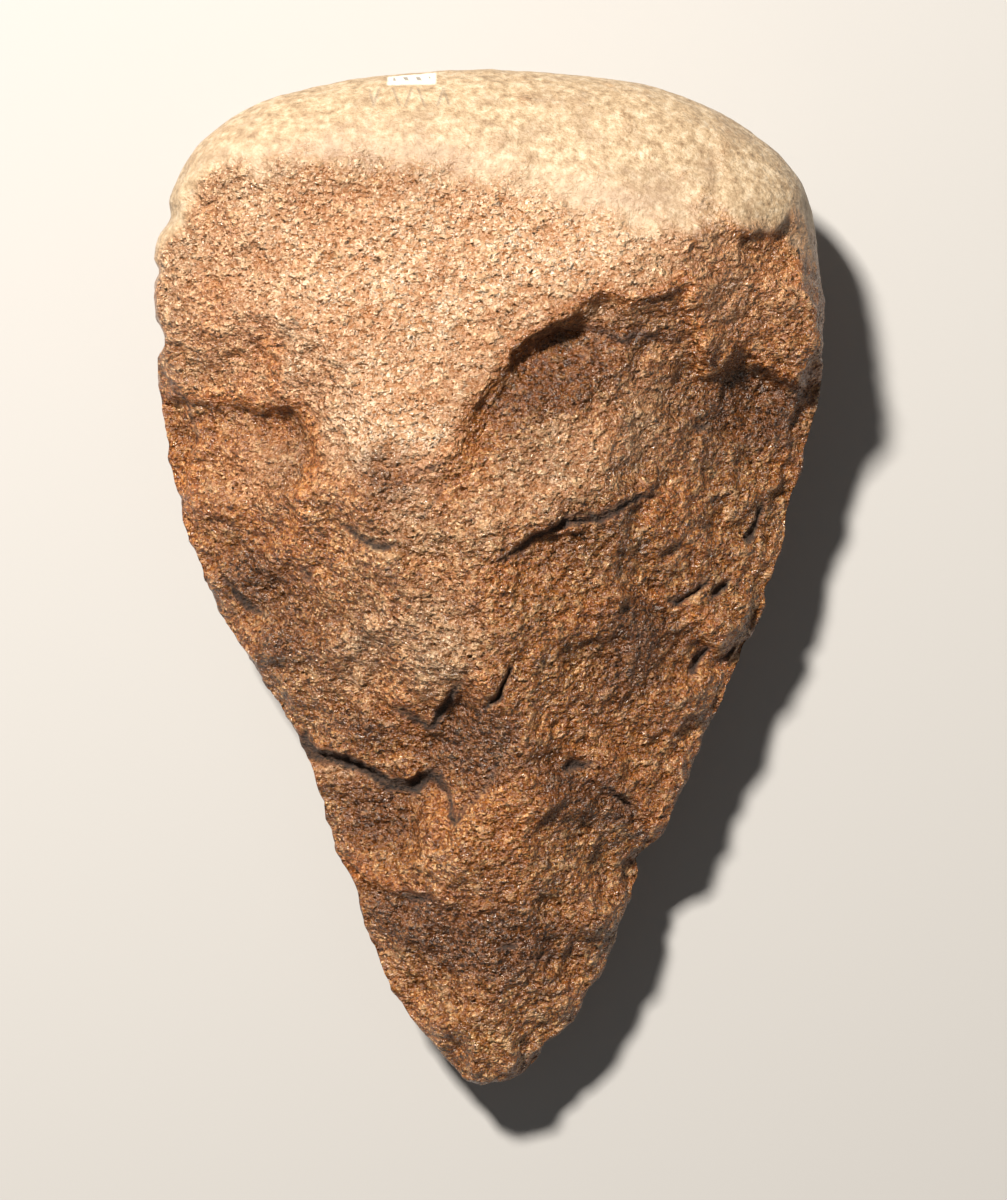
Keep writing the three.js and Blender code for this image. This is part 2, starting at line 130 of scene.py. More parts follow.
left_edge = edge_points(LEFT_EDGE, LEFT_BITES, 1)
right_edge = edge_points(RIGHT_EDGE, RIGHT_BITES, -1)
whole_edge = np.r_[left_edge, right_edge]
middle = (whole_edge.min(0) + whole_edge.max(0)) / 2
fit = np.array([WIDTH, LENGTH]) / (whole_edge.max(0) - whole_edge.min(0))
left_edge = (left_edge - middle) * fit
right_edge = (right_edge - middle) * fit
around = np.r_[left_edge, right_edge[::-1]]
print("outline points:", len(around))


def distance_to_path(path, x, y):
    """Distance from each place to a chain of straight links."""
    least = np.full(x.shape, np.inf)
    for (ax, ay), (bx, by) in zip(path[:-1, :2], path[1:, :2]):
        dx, dy = bx - ax, by - ay
        t = np.clip(((x - ax) * dx + (y - ay) * dy) / (dx * dx + dy * dy + 1e-9), 0, 1)
        least = np.minimum(least, np.hypot(x - ax - t * dx, y - ay - t * dy))
    return least


# %% [markdown]
# ## The skin of the pebble
#
# A pebble's skin rises steeply at the rim and flattens towards its crown. The curve is a squarish
# quarter circle. Its full height follows a profile along the stone. The edge where both faces
# meet rises towards the butt, and waves a little where flakes came off on both sides in turn.

# %% The pebble
UPPER_RISE = 27.0
LOWER_DEPTH = 23.4
SKIN_SQUARENESS = 2.3
SIDE_ROUNDING = 26.0
BUTT_ROUNDING = 54.0
# Shares of the length from the middle, over which the side's rounding turns to the butt's
BUTT_FROM, BUTT_FULL = 0.22, 0.42
NARROW_ROUNDING_SHARE = 0.82
EDGE_WAVE = 1.0
EDGE_WAVE_LENGTH = 19.0
EDGE_WAVE_FADE = 9.0
# Shares of the length from the tip between which the edge waves
WAVES_FULL_FROM, WAVES_FULL_TO, WAVES_END = 0.1, 0.45, 0.65
# Heights at even steps from the tip to the butt, as shares of the full height
UPPER_CROWN = [0.15, 0.4, 0.58, 0.76, 0.92, 1, 1, 1, 0.97]
LOWER_CROWN = [0.2, 0.5, 0.76, 0.92, 0.99, 1, 1, 0.97, 0.92]
EDGE_LIFT = [0.72, 0.8, 0.87, 0.93, 0.98, 1.02, 1.06, 1.1, 1.12]


def profile(values, y):
    """A value that is given at even steps from the tip to the butt."""
    return spline(values, y / LENGTH + 0.5)[:, 0]


def skin_height(full, crown, x, y, inset):
    """Height of the pebble's skin over the edge."""
    order = np.argsort(left_edge[:, 1])
    left = np.interp(y, left_edge[order, 1], left_edge[order, 0])
    order = np.argsort(right_edge[:, 1])
    right = np.interp(y, right_edge[order, 1], right_edge[order, 0])
    butt_share = smooth((y / LENGTH - BUTT_FROM) / (BUTT_FULL - BUTT_FROM))
    wide = SIDE_ROUNDING + (BUTT_ROUNDING - SIDE_ROUNDING) * butt_share
    narrow = np.maximum(NARROW_ROUNDING_SHARE * (right - left) / 2, 1)
    rounding = np.where(y > 0, wide, np.minimum(wide, narrow))
    out = 1 - np.minimum(inset / rounding, 1)
    share = (1 - out**SKIN_SQUARENESS) ** (1 / SKIN_SQUARENESS)
    return full * profile(crown, y) * share


def edge_height(y, across, inset):
    """Height of the edge over the ground, with the waves that flaking from both faces leaves."""
    along = y / LENGTH + 0.5
    fading = smooth((along - WAVES_FULL_TO) / (WAVES_END - WAVES_FULL_TO))
    sides = smooth(along / WAVES_FULL_FROM) * (1 - fading)
    turn = 2 * np.pi * y / EDGE_WAVE_LENGTH
    left = np.sin(turn) + 0.5 * np.sin(1.7 * turn + 1)
    right = np.sin(turn + 2) + 0.5 * np.sin(1.6 * turn)
    wave = EDGE_WAVE * sides * (left + (right - left) * (across + 1) / 2)
    return EDGE_HEIGHT * profile(EDGE_LIFT, y) + wave * np.exp(-inset / EDGE_WAVE_FADE)


print("height of the upper face over the edge in mm:", UPPER_RISE)

# %% [markdown]
# ## Facets and flake scars
#
# A facet is a plane and a flake scar is a shallow trough that climbs inwards from the edge. Each
# one takes off what stands above it, so the stone's height is the smallest of them all. A soft
# minimum leaves a worn ridge where two of them meet. A swell is a soft rise or hollow in between.

# %% Facets and scars
SCAR_REACH = 24.0
SCAR_HOLLOW = 1.2
# Scars run towards a point on the stone's middle line, a little nearer its middle than they start
SCAR_AIM_SHARE, SCAR_AIM_SHIFT = 0.82, 0.03
RIDGE_SOFTNESS = 0.8
SWELL_EDGE = 8.0
# Side, share along, width in mm, start over the edge in mm, bevel in degrees, sag in mm
RIGHT_TOP_SCAR = ("right", 76, 34, 13.0, 26, 0.8)
UPPER_SCARS = [
    ("left", 80, 42, 8, 24, -0.6), ("left", 62.3, 20, 4.5, 25, 0.9),
    ("left", 53, 12, 3, 33, 0.6), ("left", 44, 19, 2.5, 31, 0.9),
    ("left", 35.5, 13, 2, 31, 0.6), ("left", 26.5, 19, 2.5, 23, 0.6),
    ("left", 17, 12, 1.5, 31, 0.6), ("left", 9, 13, 1.5, 25, 0.4),
    RIGHT_TOP_SCAR, ("right", 61, 20, 4.6, 27, 1.2),
    ("right", 54, 12, 3, 33, 0.6), ("right", 47, 14, 3, 31, 0.8),
    ("right", 39, 14, 2.5, 33, 0.6), ("right", 30, 19, 2.5, 25, 0.6),
    ("right", 20, 13, 2, 30, 0.6), ("right", 12, 12, 1.5, 30, 0.5),
    ("right", 5, 9, 1, 30, 0.3),
]
LOWER_SCARS = [
    ("left", 80, 22, 3, 38, 0.9), ("left", 67, 22, 2, 33, 0.9), ("left", 54, 19, 2, 36, 0.9),
    ("left", 42, 21, 2, 34, 0.9), ("left", 30, 18, 1.5, 35, 0.7), ("left", 19, 16, 1, 31, 0.6),
    ("left", 9, 14, 1, 28, 0.4),
    ("right", 83, 17, 4, 40, 0.7), ("right", 72, 20, 2, 36, 0.9), ("right", 59, 22, 2, 33, 0.9),
    ("right", 46, 19, 2, 36, 0.8), ("right", 35, 17, 1.5, 35, 0.8), ("right", 24, 18, 1.5, 32, 0.7),
    ("right", 12, 16, 1, 29, 0.4),
]
# A place, the height there as a share of the full height, rise to the right and to the butt
UPPER_FACETS = [
    ((38, 76), 0.807, 5.5, -5.5), ((30, 42), 0.607, 8, 11), ((66, 40), 0.615, -9, 10),
    ((50, 14), 0.348, 0, 12),
]
LOWER_FACETS = [((30, 84), 0.94, 6, -11), ((50, 22), 0.66, -3, 9)]
# A place, half the length and width in mm, direction of the length in degrees, height in mm
UPPER_SWELLS = [
    ((49, 46), 20, 7, 80, 1.6), ((66.7, 58.9), 22, 7, 28, 1.8), ((74, 70.2), 11, 4.5, 0, 1.9),
    ((76, 45), 10, 7, 0, -1.0), ((70, 33.5), 12, 8, -20, 1.3), ((48, 35), 7, 4, 70, -1.1),
    ((34, 35.5), 9, 5, -10, 1.2), ((15, 45.5), 10, 6, -50, -1.2), ((42, 25), 13, 7, 5, 0.9),
    ((36, 16.5), 7, 4, 0, -0.8), ((62, 17), 7, 3.5, 75, 0.8), ((53, 15), 5, 4, 20, -0.8),
    ((88, 79), 11, 2.5, 85, 0.6), ((33.6, 34.7), 9, 4, -15, 1.0),
    ((36.6, 22.4), 9, 4, -10, 0.9), ((50, 62.5), 8, 5, 40, -0.8), ((89, 68), 9, 4, 0, 1.6),
    ((77.5, 78.5), 10, 9, 0, -0.6), ((22, 45), 12, 5, 70, -1.3), ((66, 24), 8, 5, 40, 1.2),
    ((52, 37), 8, 5, -20, 1.3),
]
LOWER_SWELLS = [((45, 55), 30, 14, 80, -1.0), ((30, 30), 16, 7, -30, 0.8)]


def soft_min(a, b):
    """The smaller of two heights, with a worn ridge where they cross."""
    near = np.maximum(RIDGE_SOFTNESS - np.abs(a - b), 0) / RIDGE_SOFTNESS
    return np.minimum(a, b) - near * near * RIDGE_SOFTNESS / 4


def scar_height(scar, x, y):
    """Height of a trough that climbs inwards from the edge."""
    side, along, width, start, bevel, sag = scar
    edge = left_edge if side == "left" else right_edge
    from_x, from_y = edge[np.argmin(np.abs(edge[:, 1] - place(0, along)[1]))]
    aim = (0.0, from_y * SCAR_AIM_SHARE + LENGTH * SCAR_AIM_SHIFT)
    towards = np.array(aim) - (from_x, from_y)
    towards /= np.hypot(*towards)
    dx, dy = x - from_x, y - from_y
    inwards = dx * towards[0] + dy * towards[1]
    aside = dx * towards[1] - dy * towards[0]
    share = inwards / SCAR_REACH
    hollow = SCAR_HOLLOW * (2 * aside / width) ** 2
    return start + math.tan(math.radians(bevel)) * inwards + hollow - 4 * sag * share * (1 - share)


def facet_height(facet, full, x, y):
    """Height of a leaning plane."""
    at, height, rise_right, rise_butt = facet
    at_x, at_y = place(*at)
    rise_x = math.tan(math.radians(rise_right)) * (x - at_x)
    rise_y = math.tan(math.radians(rise_butt)) * (y - at_y)
    return height * full + rise_x + rise_y


def spot(item, x, y):
    """A soft oval spot: 1 in its middle, and nothing well outside it."""
    at, half_length, half_width, turn = item[:4]
    at_x, at_y = place(*at)
    cos, sin = math.cos(math.radians(turn)), math.sin(math.radians(turn))
    u = ((x - at_x) * cos + (y - at_y) * sin) / half_length
    v = ((y - at_y) * cos - (x - at_x) * sin) / half_width
    return np.exp(-1.5 * (u * u + v * v))


print("scars:", len(UPPER_SCARS), "above and", len(LOWER_SCARS), "below")

# %% [markdown]
# ## Steps and splits
#
# Where a flake broke off short, it left a step. A step follows a path with the lower ground on its
# right, and every point of the path has a drop. The drop dies out over a few runs. Its steep face
# starts sharply at the lip and eases out at the foot, as a broken flake's end does. A split is a
# narrow groove along a path.

# %% Paths of the steps
# Name: run in mm, width of the steep face as a multiple of the usual one (or several such widths,
# spread evenly along the path), and the path of (across, along, drop in mm)
UPPER_STEPS = {
    "great scarp": (30, (1.6, 1.4, 1.1, 1.1, 1.7, 2.1, 2.1, 1.7, 1.1, 1.0, 1.0), [
        (36.6, 59.4, 0), (44.1, 62.3, 1.6), (48.6, 67.7, 3), (50.9, 69.2, 3.4), (54.4, 72.4, 4.2),
        (57.7, 73.6, 4.5), (62.9, 76.1, 4.5), (67.4, 77.6, 4.5), (70.3, 76.6, 4.3),
        (73, 77.1, 4), (76.4, 77.8, 3.6), (79.3, 78.5, 2.8), (80.2, 75.5, 2.2),
        (82.4, 71.2, 2.8), (86.9, 71.6, 3.8), (90.7, 70.2, 4.2), (94, 69.5, 3.8),
        (97.8, 70.2, 2.8), (100.3, 70.2, 1.6)]),
    "foot of the scarp": (7, 0.5, [
        (53.5, 70.9, 0), (57.8, 72.9, 1), (61.4, 74.1, 1.5), (64.9, 74, 1.7),
        (69.5, 72.8, 1.6), (71.5, 73.9, 1.3), (73.4, 73.6, 1.2), (75, 73.1, 1),
        (78.7, 72.9, 0.4), (80, 72.8, 0)]),
    "left scar rim": (14, (0.7, 0.8, 1.0, 1.1), [
        (0.8, 69, 1.4), (3, 68.2, 2), (6, 67.3, 2.2), (12.9, 67.4, 2.4), (18.5, 67, 2.6),
        (21.8, 66.7, 2.7), (24.3, 63.4, 2.8), (24.2, 61, 2.6), (22.9, 57.9, 2.2),
        (22.4, 54.9, 1.5), (21.6, 52, 0)]),
    "groove on the plateau": (5, 0.8, [
        (18.6, 72.2, 0), (19, 70.4, 0.8), (18.8, 68.4, 1), (19.4, 67, 0)]),
    "left lower shelf": (10, 0.8, [
        (3.8, 57.4, 0.6), (9, 56.6, 1.4), (14, 56.3, 1.5), (17.7, 54.2, 1.1), (18.5, 52.6, 0)]),
    "tongue": (12, 0.5, [
        (36.3, 37.6, 0.5), (40.8, 35.5, 2.3), (42.5, 37.1, 2.7), (44.3, 39, 2.3), (48.6, 40.5, 0)]),
    "lower step": (12, 0.6, [
        (21, 34.6, 0.8), (23.1, 32.7, 2.3), (27.5, 32.6, 3.2), (33.3, 30.8, 3.4),
        (35.4, 29.5, 3.4), (41.3, 30.8, 2.7), (44.7, 28.2, 1.5), (45.5, 26.9, 0)]),
    "terrace": (15, 0.9, [
        (26.6, 23, 1.1), (31.7, 20.8, 2.4), (35.9, 19.8, 2.7), (42.9, 19.2, 2.2), (52, 18, 0)]),
    "right lower hollow": (12, 1.2, [
        (61.6, 31.1, 0), (66.7, 29.8, 1.6), (72.7, 28.1, 2.1), (76.8, 24.2, 1.3)]),
    "right middle hollow": (14, 1.2, [
        (60, 46, 0), (64.9, 46.9, 1.2), (72.7, 48, 1.8), (80.2, 46.9, 1.6), (85.3, 43.6, 0.5)]),
    "long split": (18, 0.45, [
        (50.8, 51.9, 0), (53.8, 52.5, 1.2), (60.1, 54.5, 1.8), (65.2, 55.4, 2.1), (72.8, 58.1, 1.5),
        (76.3, 58, 0)]),
    "skin remnant": (9, 0.9, [
        (84.8, 88, 0), (85, 85, 1.2), (86.6, 83.6, 2.3), (91.9, 83.2, 2.4), (93.6, 85.6, 1),
        (94, 88, 0)]),
    "rim crevice": (6, 0.5, [
        (1.4, 69.6, 0.4), (4.4, 67.7, 0.9), (6.2, 63.8, 1), (5.9, 60.8, 0.8), (5.5, 57.5, 0)]),
}
LOWER_STEPS = {
    "belly step": (20, 1, [
        (20, 62, 0), (30, 66, 1.4), (40, 72, 1.9), (52, 75, 1.6), (63, 74, 0)]),
    "belly tip step": (16, 1, [(34, 26, 0), (42, 23, 1.3), (52, 24, 1.5), (61, 28, 0)]),
}
print("steps:", len(UPPER_STEPS) + len(LOWER_STEPS))

# %% Paths of the splits
# Width in mm, then path of (across, along, depth in mm)
UPPER_SPLITS = [
    (1.5, [(50.6, 51.6, 0.2), (55.1, 52.9, 0.9), (59.8, 54.7, 1.3), (62, 55.8, 1.6),
           (64.9, 55.6, 2.4), (66.8, 56, 2.4), (68.8, 56.9, 2), (72.7, 58.2, 0.9),
           (76.6, 58, 0)]),
    (1.0, [(1.4, 69.5, 0.2), (4.4, 67.7, 0.5), (6.2, 63.8, 0.4), (5.9, 60.8, 0)]),
    (1.2, [(55, 71.5, 0), (57.8, 73, 0.5), (61.4, 74.2, 0.5), (64.9, 74, 0.4),
           (69.5, 72.7, 0.6), (71.5, 73.8, 0.5), (73.4, 73.5, 0.5), (74.3, 73, 0.4),
           (78.7, 72.8, 0.3), (80, 72.8, 0)]),
    (1.5, [(27.6, 55.4, 0), (29.5, 54.9, 1), (31.2, 54.1, 1.7), (33.9, 53.4, 1.9),
           (36.6, 53.3, 0.6), (37.6, 53.6, 0)]),
    (0.9, [(21.2, 51.7, 0), (22.9, 51.1, 0.9), (24.3, 50.7, 0)]),
    (0.9, [(38.7, 59.9, 0), (39.8, 60.6, 0.8), (42.2, 61.1, 0.8), (44.3, 62, 0)]),
    (0.9, [(37.4, 55.7, 0), (40.5, 55.9, 0.6), (41.9, 57.3, 0.6), (43.2, 58.7, 0.5),
           (45.3, 59.9, 0)]),
    (0.9, [(21.2, 50.9, 0), (22.8, 50.5, 0.7), (24.6, 49.6, 0)]),
    (1.1, [(9.5, 50.5, 0), (11.9, 48.6, 1), (14.3, 47, 1), (16.4, 46.7, 0)]),
    (1.1, [(79.6, 65.3, 0), (81.4, 65, 1.1), (82.9, 65.7, 0)]),
    (1.3, [(91.6, 58.2, 0), (90.8, 56.5, 1.8), (89.6, 54.5, 1.6), (88.4, 53.5, 0)]),
    (1.6, [(76, 48.2, 0), (78.4, 48, 1.9), (80.6, 49, 1.8), (82.9, 50.3, 0)]),
    (1.3, [(82.4, 48.2, 0), (84.5, 49.2, 1.5), (86.4, 50.4, 0)]),
    (1.6, [(83.4, 44, 0), (81.8, 42.6, 1.9), (80, 40.3, 0)]),
    (1.4, [(87.2, 43.7, 0), (86, 42.9, 1.6), (84.8, 42.1, 0)]),
    (1.3, [(53.6, 42, 0), (53.2, 41.1, 1.6), (51.4, 38.4, 1.9), (50.5, 38, 1.5), (49.2, 37.3, 0)]),
    (1.5, [(36, 37.7, 0.5), (38.5, 36.4, 1), (40.9, 35.6, 1.3), (42.6, 37.6, 1.9),
           (45, 39.9, 0.9), (46.4, 40.2, 0)]),
    (2.5, [(21.8, 34.8, 0.6), (23.6, 32.8, 2.2), (27.2, 32.4, 3), (31, 31.3, 3),
           (33.6, 30.3, 2.8), (35.2, 29.7, 3.2), (38.4, 29.8, 2.7), (41.4, 30.8, 1.4),
           (43.4, 29.5, 0.6), (45.5, 26.8, 0.8), (46.8, 28, 0.4), (48.9, 29.8, 0.35),
           (50.5, 31.6, 0.3), (50.9, 33.3, 0)]),
    (1.5, [(61, 31.3, 0), (63.3, 31.7, 1.8), (65.6, 31.8, 0)]),
    (1.3, [(37, 18.9, 0), (39.6, 18.7, 1), (43, 18.6, 0)]),
    (1.4, [(50.5, 13.6, 0), (52.6, 14.2, 1.1), (54.8, 14.6, 0)]),
    (0.9, [(54.8, 12, 0), (57.2, 12.4, 0.7), (59.5, 12.6, 0)]),
    (1.2, [(66, 30, 0), (69.4, 28.6, 0.9), (72.7, 27.3, 0)]),
    (1.0, [(62.9, 18.5, 0), (64, 19, 0.7), (65, 19, 0)]),
]
print("splits:", len(UPPER_SPLITS))

# %% Drop of a step and depth of a split
STEP_FACE = 2.2
STEP_CURVE = 1.6
STEP_BLEND = 0.9
STEP_FADE = 2.2
SPLIT_SHOULDER = 0.62
LINKS_PER_POINT = 6


def chain_of(path):
    """A smooth chain of (x, y, value) along a path of shares."""
    points = [(*place(across, along), value) for across, along, value in path]
    return spline(points, np.linspace(0, 1, LINKS_PER_POINT * len(points)))


def step_drop(step, x, y):
    """How far a step lowers the ground: each link of its chain has a say, the near ones most."""
    run, face, path = step
    chain = chain_of(path)
    reach = STEP_FADE * run
    near = (x > chain[:, 0].min() - reach) & (x < chain[:, 0].max() + reach)
    near &= (y > chain[:, 1].min() - reach) & (y < chain[:, 1].max() + reach)
    px, py = x[near], y[near]
    ways = np.gradient(chain[:, :2], axis=0)
    ways /= np.hypot(*ways.T)[:, None]
    least = np.full(px.shape, np.inf)
    for link_x, link_y, _ in chain:
        least = np.minimum(least, np.hypot(px - link_x, py - link_y))
    total = np.zeros(px.shape)
    weights = np.zeros(px.shape)
    given = np.atleast_1d(face)
    widths = np.interp(np.linspace(0, 1, len(chain)), np.linspace(0, 1, len(given)), given)
    for (link_x, link_y, drop), (way_x, way_y), width in zip(chain, ways, widths):
        ox, oy = px - link_x, py - link_y
        weight = np.exp((least - np.hypot(ox, oy)) / STEP_BLEND)
        down = np.clip((ox * way_y - oy * way_x) / (width * STEP_FACE), 0, 1)
        below = 1 - (1 - down) ** STEP_CURVE
        total += weight * max(drop, 0) * below
        weights += weight
    drops = np.zeros(x.shape)
    drops[near] = total / weights * (1 - smooth(least / reach))
    return drops


def split_depth(split, x, y):
    """Depth of a narrow groove along a path."""
    width, path = split
    chain = chain_of(path)
    near = (x > chain[:, 0].min() - width) & (x < chain[:, 0].max() + width)
    near &= (y > chain[:, 1].min() - width) & (y < chain[:, 1].max() + width)
    px, py = x[near], y[near]
    best = np.full(px.shape, np.inf)
    depth = np.zeros(px.shape)
    for (ax, ay, a_depth), (bx, by, b_depth) in zip(chain[:-1], chain[1:]):
        dx, dy = bx - ax, by - ay
        t = np.clip(((px - ax) * dx + (py - ay) * dy) / (dx * dx + dy * dy + 1e-9), 0, 1)
        off = np.hypot(px - ax - t * dx, py - ay - t * dy)
        closer = off < best
        best = np.where(closer, off, best)
        depth = np.where(closer, a_depth + (b_depth - a_depth) * t, depth)
    depths = np.zeros(x.shape)
    depths[near] = np.maximum(depth, 0) * (1 - smooth(best / (width * SPLIT_SHOULDER)))
    return depths


# %% [markdown]
# ## Retouch along the edge
#
# A hand axe's edge was trimmed with many small blows, and each left a small scar. They are scars
# like the large ones, spread along both edges at uneven spacing. A fixed seed makes the same edge
# every time.

# %% Small scars along the edges
RETOUCH_SEED = 11
RETOUCH_SPACING = 6.5
RETOUCH_UNEVENNESS = (0.6, 1.5)
RETOUCH_FROM, RETOUCH_TO = 3.0, 66.0
RETOUCH_WIDTHS = (5, 11)
RETOUCH_STARTS = (0.3, 1.6)
RETOUCH_BEVELS = (42, 58)
RETOUCH_SAG = 0.2


def retouch_scars(seed):
    """Small scars for one face, in the same form as the large ones."""
    dice = np.random.default_rng(seed)
    scars = []
    for side in ("left", "right"):
        along = RETOUCH_FROM
        while along < RETOUCH_TO:
            width = dice.uniform(*RETOUCH_WIDTHS)
            start = dice.uniform(*RETOUCH_STARTS)
            bevel = dice.uniform(*RETOUCH_BEVELS)
            scars.append((side, along, width, start, bevel, RETOUCH_SAG))
            along += 100 * dice.uniform(*RETOUCH_UNEVENNESS) * RETOUCH_SPACING / LENGTH
    return scars


UPPER_RETOUCH = retouch_scars(RETOUCH_SEED)
LOWER_RETOUCH = retouch_scars(RETOUCH_SEED + 1)
print("small scars along the edges:", len(UPPER_RETOUCH) + len(LOWER_RETOUCH))

# %% [markdown]
# ## Uneven lines
#
# Stone doesn't break along smooth curves. Before a place is looked up, it is pushed about a little
# by a smooth noise, so ridges and steps wander as they do in coarse quartzite. The push dies out at
# the edge, so the outline stays where it is. Blender seeds this noise with the time of day, so it
# gets a fixed seed first.

# %% Wander
# Size of the noise and reach of the push in mm, from the largest to the finest
WANDERS = ((9.0, 2.2), (2.8, 0.9), (1.2, 0.25))
WANDER_HELD = 3.0
STEP_WANDER = 0.55
WANDER_SEED = 2
noise.seed_set(WANDER_SEED)


def wander(x, y, inset):
    """Places pushed about by the noise."""
    shift = np.zeros((len(x), 2))
    for size, reach in WANDERS:
        pushes = [noise.noise_vector(Vector((a / size, b / size, size))) for a, b in zip(x, y)]
        shift += reach * np.array(pushes)[:, :2]
    hold = smooth(inset / WANDER_HELD)
    return x + shift[:, 0] * hold, y + shift[:, 1] * hold


print("wander in mm:", [reach for _, reach in WANDERS])

# %% Height of a face
LEAST_WEDGE = 0.3


def face_height(face, x, y, inset):
    """Height of one face over the edge, and the height of the pebble's skin there."""
    full, crown, facets, swells, scars, retouch, steps, splits = face
    skin = skin_height(full, crown, x, y, inset)
    wx, wy = wander(x, y, inset)
    height = skin.copy()
    for facet in facets:
        height = soft_min(height, facet_height(facet, full, wx, wy))
    for swell in swells:
        height += swell[4] * spot(swell, wx, wy) * smooth(inset / SWELL_EDGE)
    for scar in scars + retouch:
        height = soft_min(height, scar_height(scar, wx, wy))
    sx, sy = x + STEP_WANDER * (wx - x), y + STEP_WANDER * (wy - y)
    for step in steps.values():
        height -= step_drop(step, sx, sy)
    # Depth of the splits, which later sets their painted shade.
    split_shade = np.zeros(x.shape)
    for split in splits:
        depth = split_depth(split, sx, sy)
        height -= depth
        split_shade = np.maximum(split_shade, depth)
    return np.maximum(height, LEAST_WEDGE * inset), skin, split_shade


UPPER = (UPPER_RISE, UPPER_CROWN, UPPER_FACETS, UPPER_SWELLS, UPPER_SCARS, UPPER_RETOUCH,
         UPPER_STEPS, UPPER_SPLITS)
LOWER = (LOWER_DEPTH, LOWER_CROWN, LOWER_FACETS, LOWER_SWELLS, LOWER_SCARS,
         LOWER_RETOUCH, LOWER_STEPS, [])

# %% [markdown]
# ## The mesh
#
# The mesh is laid out like a globe lying on its side. Its poles are the tip and the middle of the
# butt, and its equator is the edge. Rows of points run round the stone, and each row joins two
# points that are equally far along the left and the right edge. The upper face shows most, so it
# gets most of the points.

# %% Lay out the points
UPPER_SLICES = 236
LOWER_SLICES = 72
ROWS = 316
EVEN_SPACING = 0.55


def row_points(t):
    """The two edge points at share t of the way from the tip to the butt."""
    at = np.clip(t, 0, 1) * OUTLINE_STEPS
    steps = np.arange(OUTLINE_STEPS + 1)
    left = np.c_[np.interp(at, steps, left_edge[:, 0]), np.interp(at, steps, left_edge[:, 1])]
    right = np.c_[np.interp(at, steps, right_edge[:, 0]), np.interp(at, steps, right_edge[:, 1])]
    return left, right


slices = np.r_[
    np.arange(UPPER_SLICES) / UPPER_SLICES,
    1 - np.arange(LOWER_SLICES) / LOWER_SLICES,
]
across = EVEN_SPACING * (2 * slices - 1) - (1 - EVEN_SPACING) * np.cos(np.pi * slices)
on_top = np.arange(len(slices)) < UPPER_SLICES
left, right = row_points(np.arange(1, ROWS) / ROWS)
blend = ((across + 1) / 2)[None, :, None]
plan = left[:, None, :] * (1 - blend) + right[:, None, :] * blend
grid_x, grid_y = plan[..., 0].ravel(), plan[..., 1].ravel()
grid_across = np.tile(across, ROWS - 1)
grid_top = np.tile(on_top, ROWS - 1)
inset = distance_to_path(around, grid_x, grid_y)
inset[np.abs(grid_across) > 1 - 1e-9] = 0
print("points:", len(grid_x))

# %% Raise both faces
edge = edge_height(grid_y, grid_across, inset)
rise, skin, split_shade = np.zeros((3, len(grid_x)))
for face, chosen in ((UPPER, grid_top), (LOWER, ~grid_top)):
    raised = face_height(face, grid_x[chosen], grid_y[chosen], inset[chosen])
    rise[chosen], skin[chosen], split_shade[chosen] = raised
grid_z = np.maximum(edge + np.where(grid_top, rise, -rise), 0)
print("highest point over the ground in mm:", round(float(grid_z.max()), 2))

# %% [markdown]
# ## Where each finish goes
#
# Each point carries a few shares that the finish reads: how much skin is left there, how far the
# broken stone is bleached, how grey it is, how much rust is in it, how much dark stain and painted
# shade it gets, and how much painted shade lies in a split. The bleached ground ends at the large
# steps and at the scar on the right. Rust gathers along the lips of the steps, and painted shade on
# the ground below them.

# %% Places of each finish
# A place, half length and half width in mm, direction in degrees
BLEACHED = [((31, 78), 46, 27, -20), ((64, 84), 30, 13, 0), ((37, 62), 14, 11, -50)]
# The same, and how pale the place is
PALE_PLACES = [
    ((89, 85.6), 5, 4, 0, 1.0), ((85, 78), 14, 12, 0, 0.45), ((60, 60.5), 20, 6, 28, 0.42),
    ((43, 45), 7, 12, 0, 0.2), ((16, 61), 10, 8, 0, 0.5), ((67, 75.6), 9, 4, 0, 0.5),
    ((27.2, 30.9), 6, 1.4, -10, 0.9), ((22, 80), 13, 11, 0, 0.94), ((72.5, 68.3), 8, 4, 0, 0.35),
]
GREYED = [
    ((60, 60.5), 24, 8, 28), ((43, 45), 9, 13, 0), ((31, 43), 6, 11, -20), ((32, 90.5), 26, 5, -3),
    ((76, 72.2), 9, 4, 0), ((70, 86), 14, 4, -10),
]
RUSTED = [
    ((90, 78), 16, 14, 80), ((66, 35), 18, 9, 30), ((13, 63), 14, 11, 60), ((10, 76), 12, 5, 85),
    ((30, 57), 7, 4, -20), ((55, 28), 9, 7, 0),
]
# Spots of dark stain; some lie in the hollows below the steps and stand for their shade, so they are
# partly painted shade.
STAIN_AND_SHADE_SPOTS = [
    ((59, 69), 15, 6, 28), ((89, 66.5), 14, 8, 0), ((47, 35), 9, 8, 0), ((51, 14.5), 16, 9, 0),
    ((71, 42), 11, 9, 60), ((35, 59.5), 7, 5, 40), ((66, 28), 8, 5, 10), ((15, 50), 8, 9, 50),
    ((38, 17), 7, 4, 0), ((60, 31), 7, 5, 0), ((33, 26), 9, 5, 0), ((19, 43), 6, 9, -30),
    ((31, 36), 8, 4, -20), ((60, 67.7), 9, 3.5, 20), ((47, 34), 7, 7, 0), ((51, 14), 13, 6, 0),
    ((71, 73.2), 8, 1.3, 0),
]


def spots(items):
    """The shares of several spots together."""
    return np.clip(sum(spot(item, wander_x, wander_y) for item in items), 0, 1)


wander_x, wander_y = wander(grid_x, grid_y, inset)
step_x = grid_x + STEP_WANDER * (wander_x - grid_x)
step_y = grid_y + STEP_WANDER * (wander_y - grid_y)

# %% Share of the skin
# Depth in mm over which the skin wears through, and size and depth of its ragged border
SKIN_WEAR = 3.2
BORDER_SIZE, BORDER_DEPTH = 4.0, 1.3
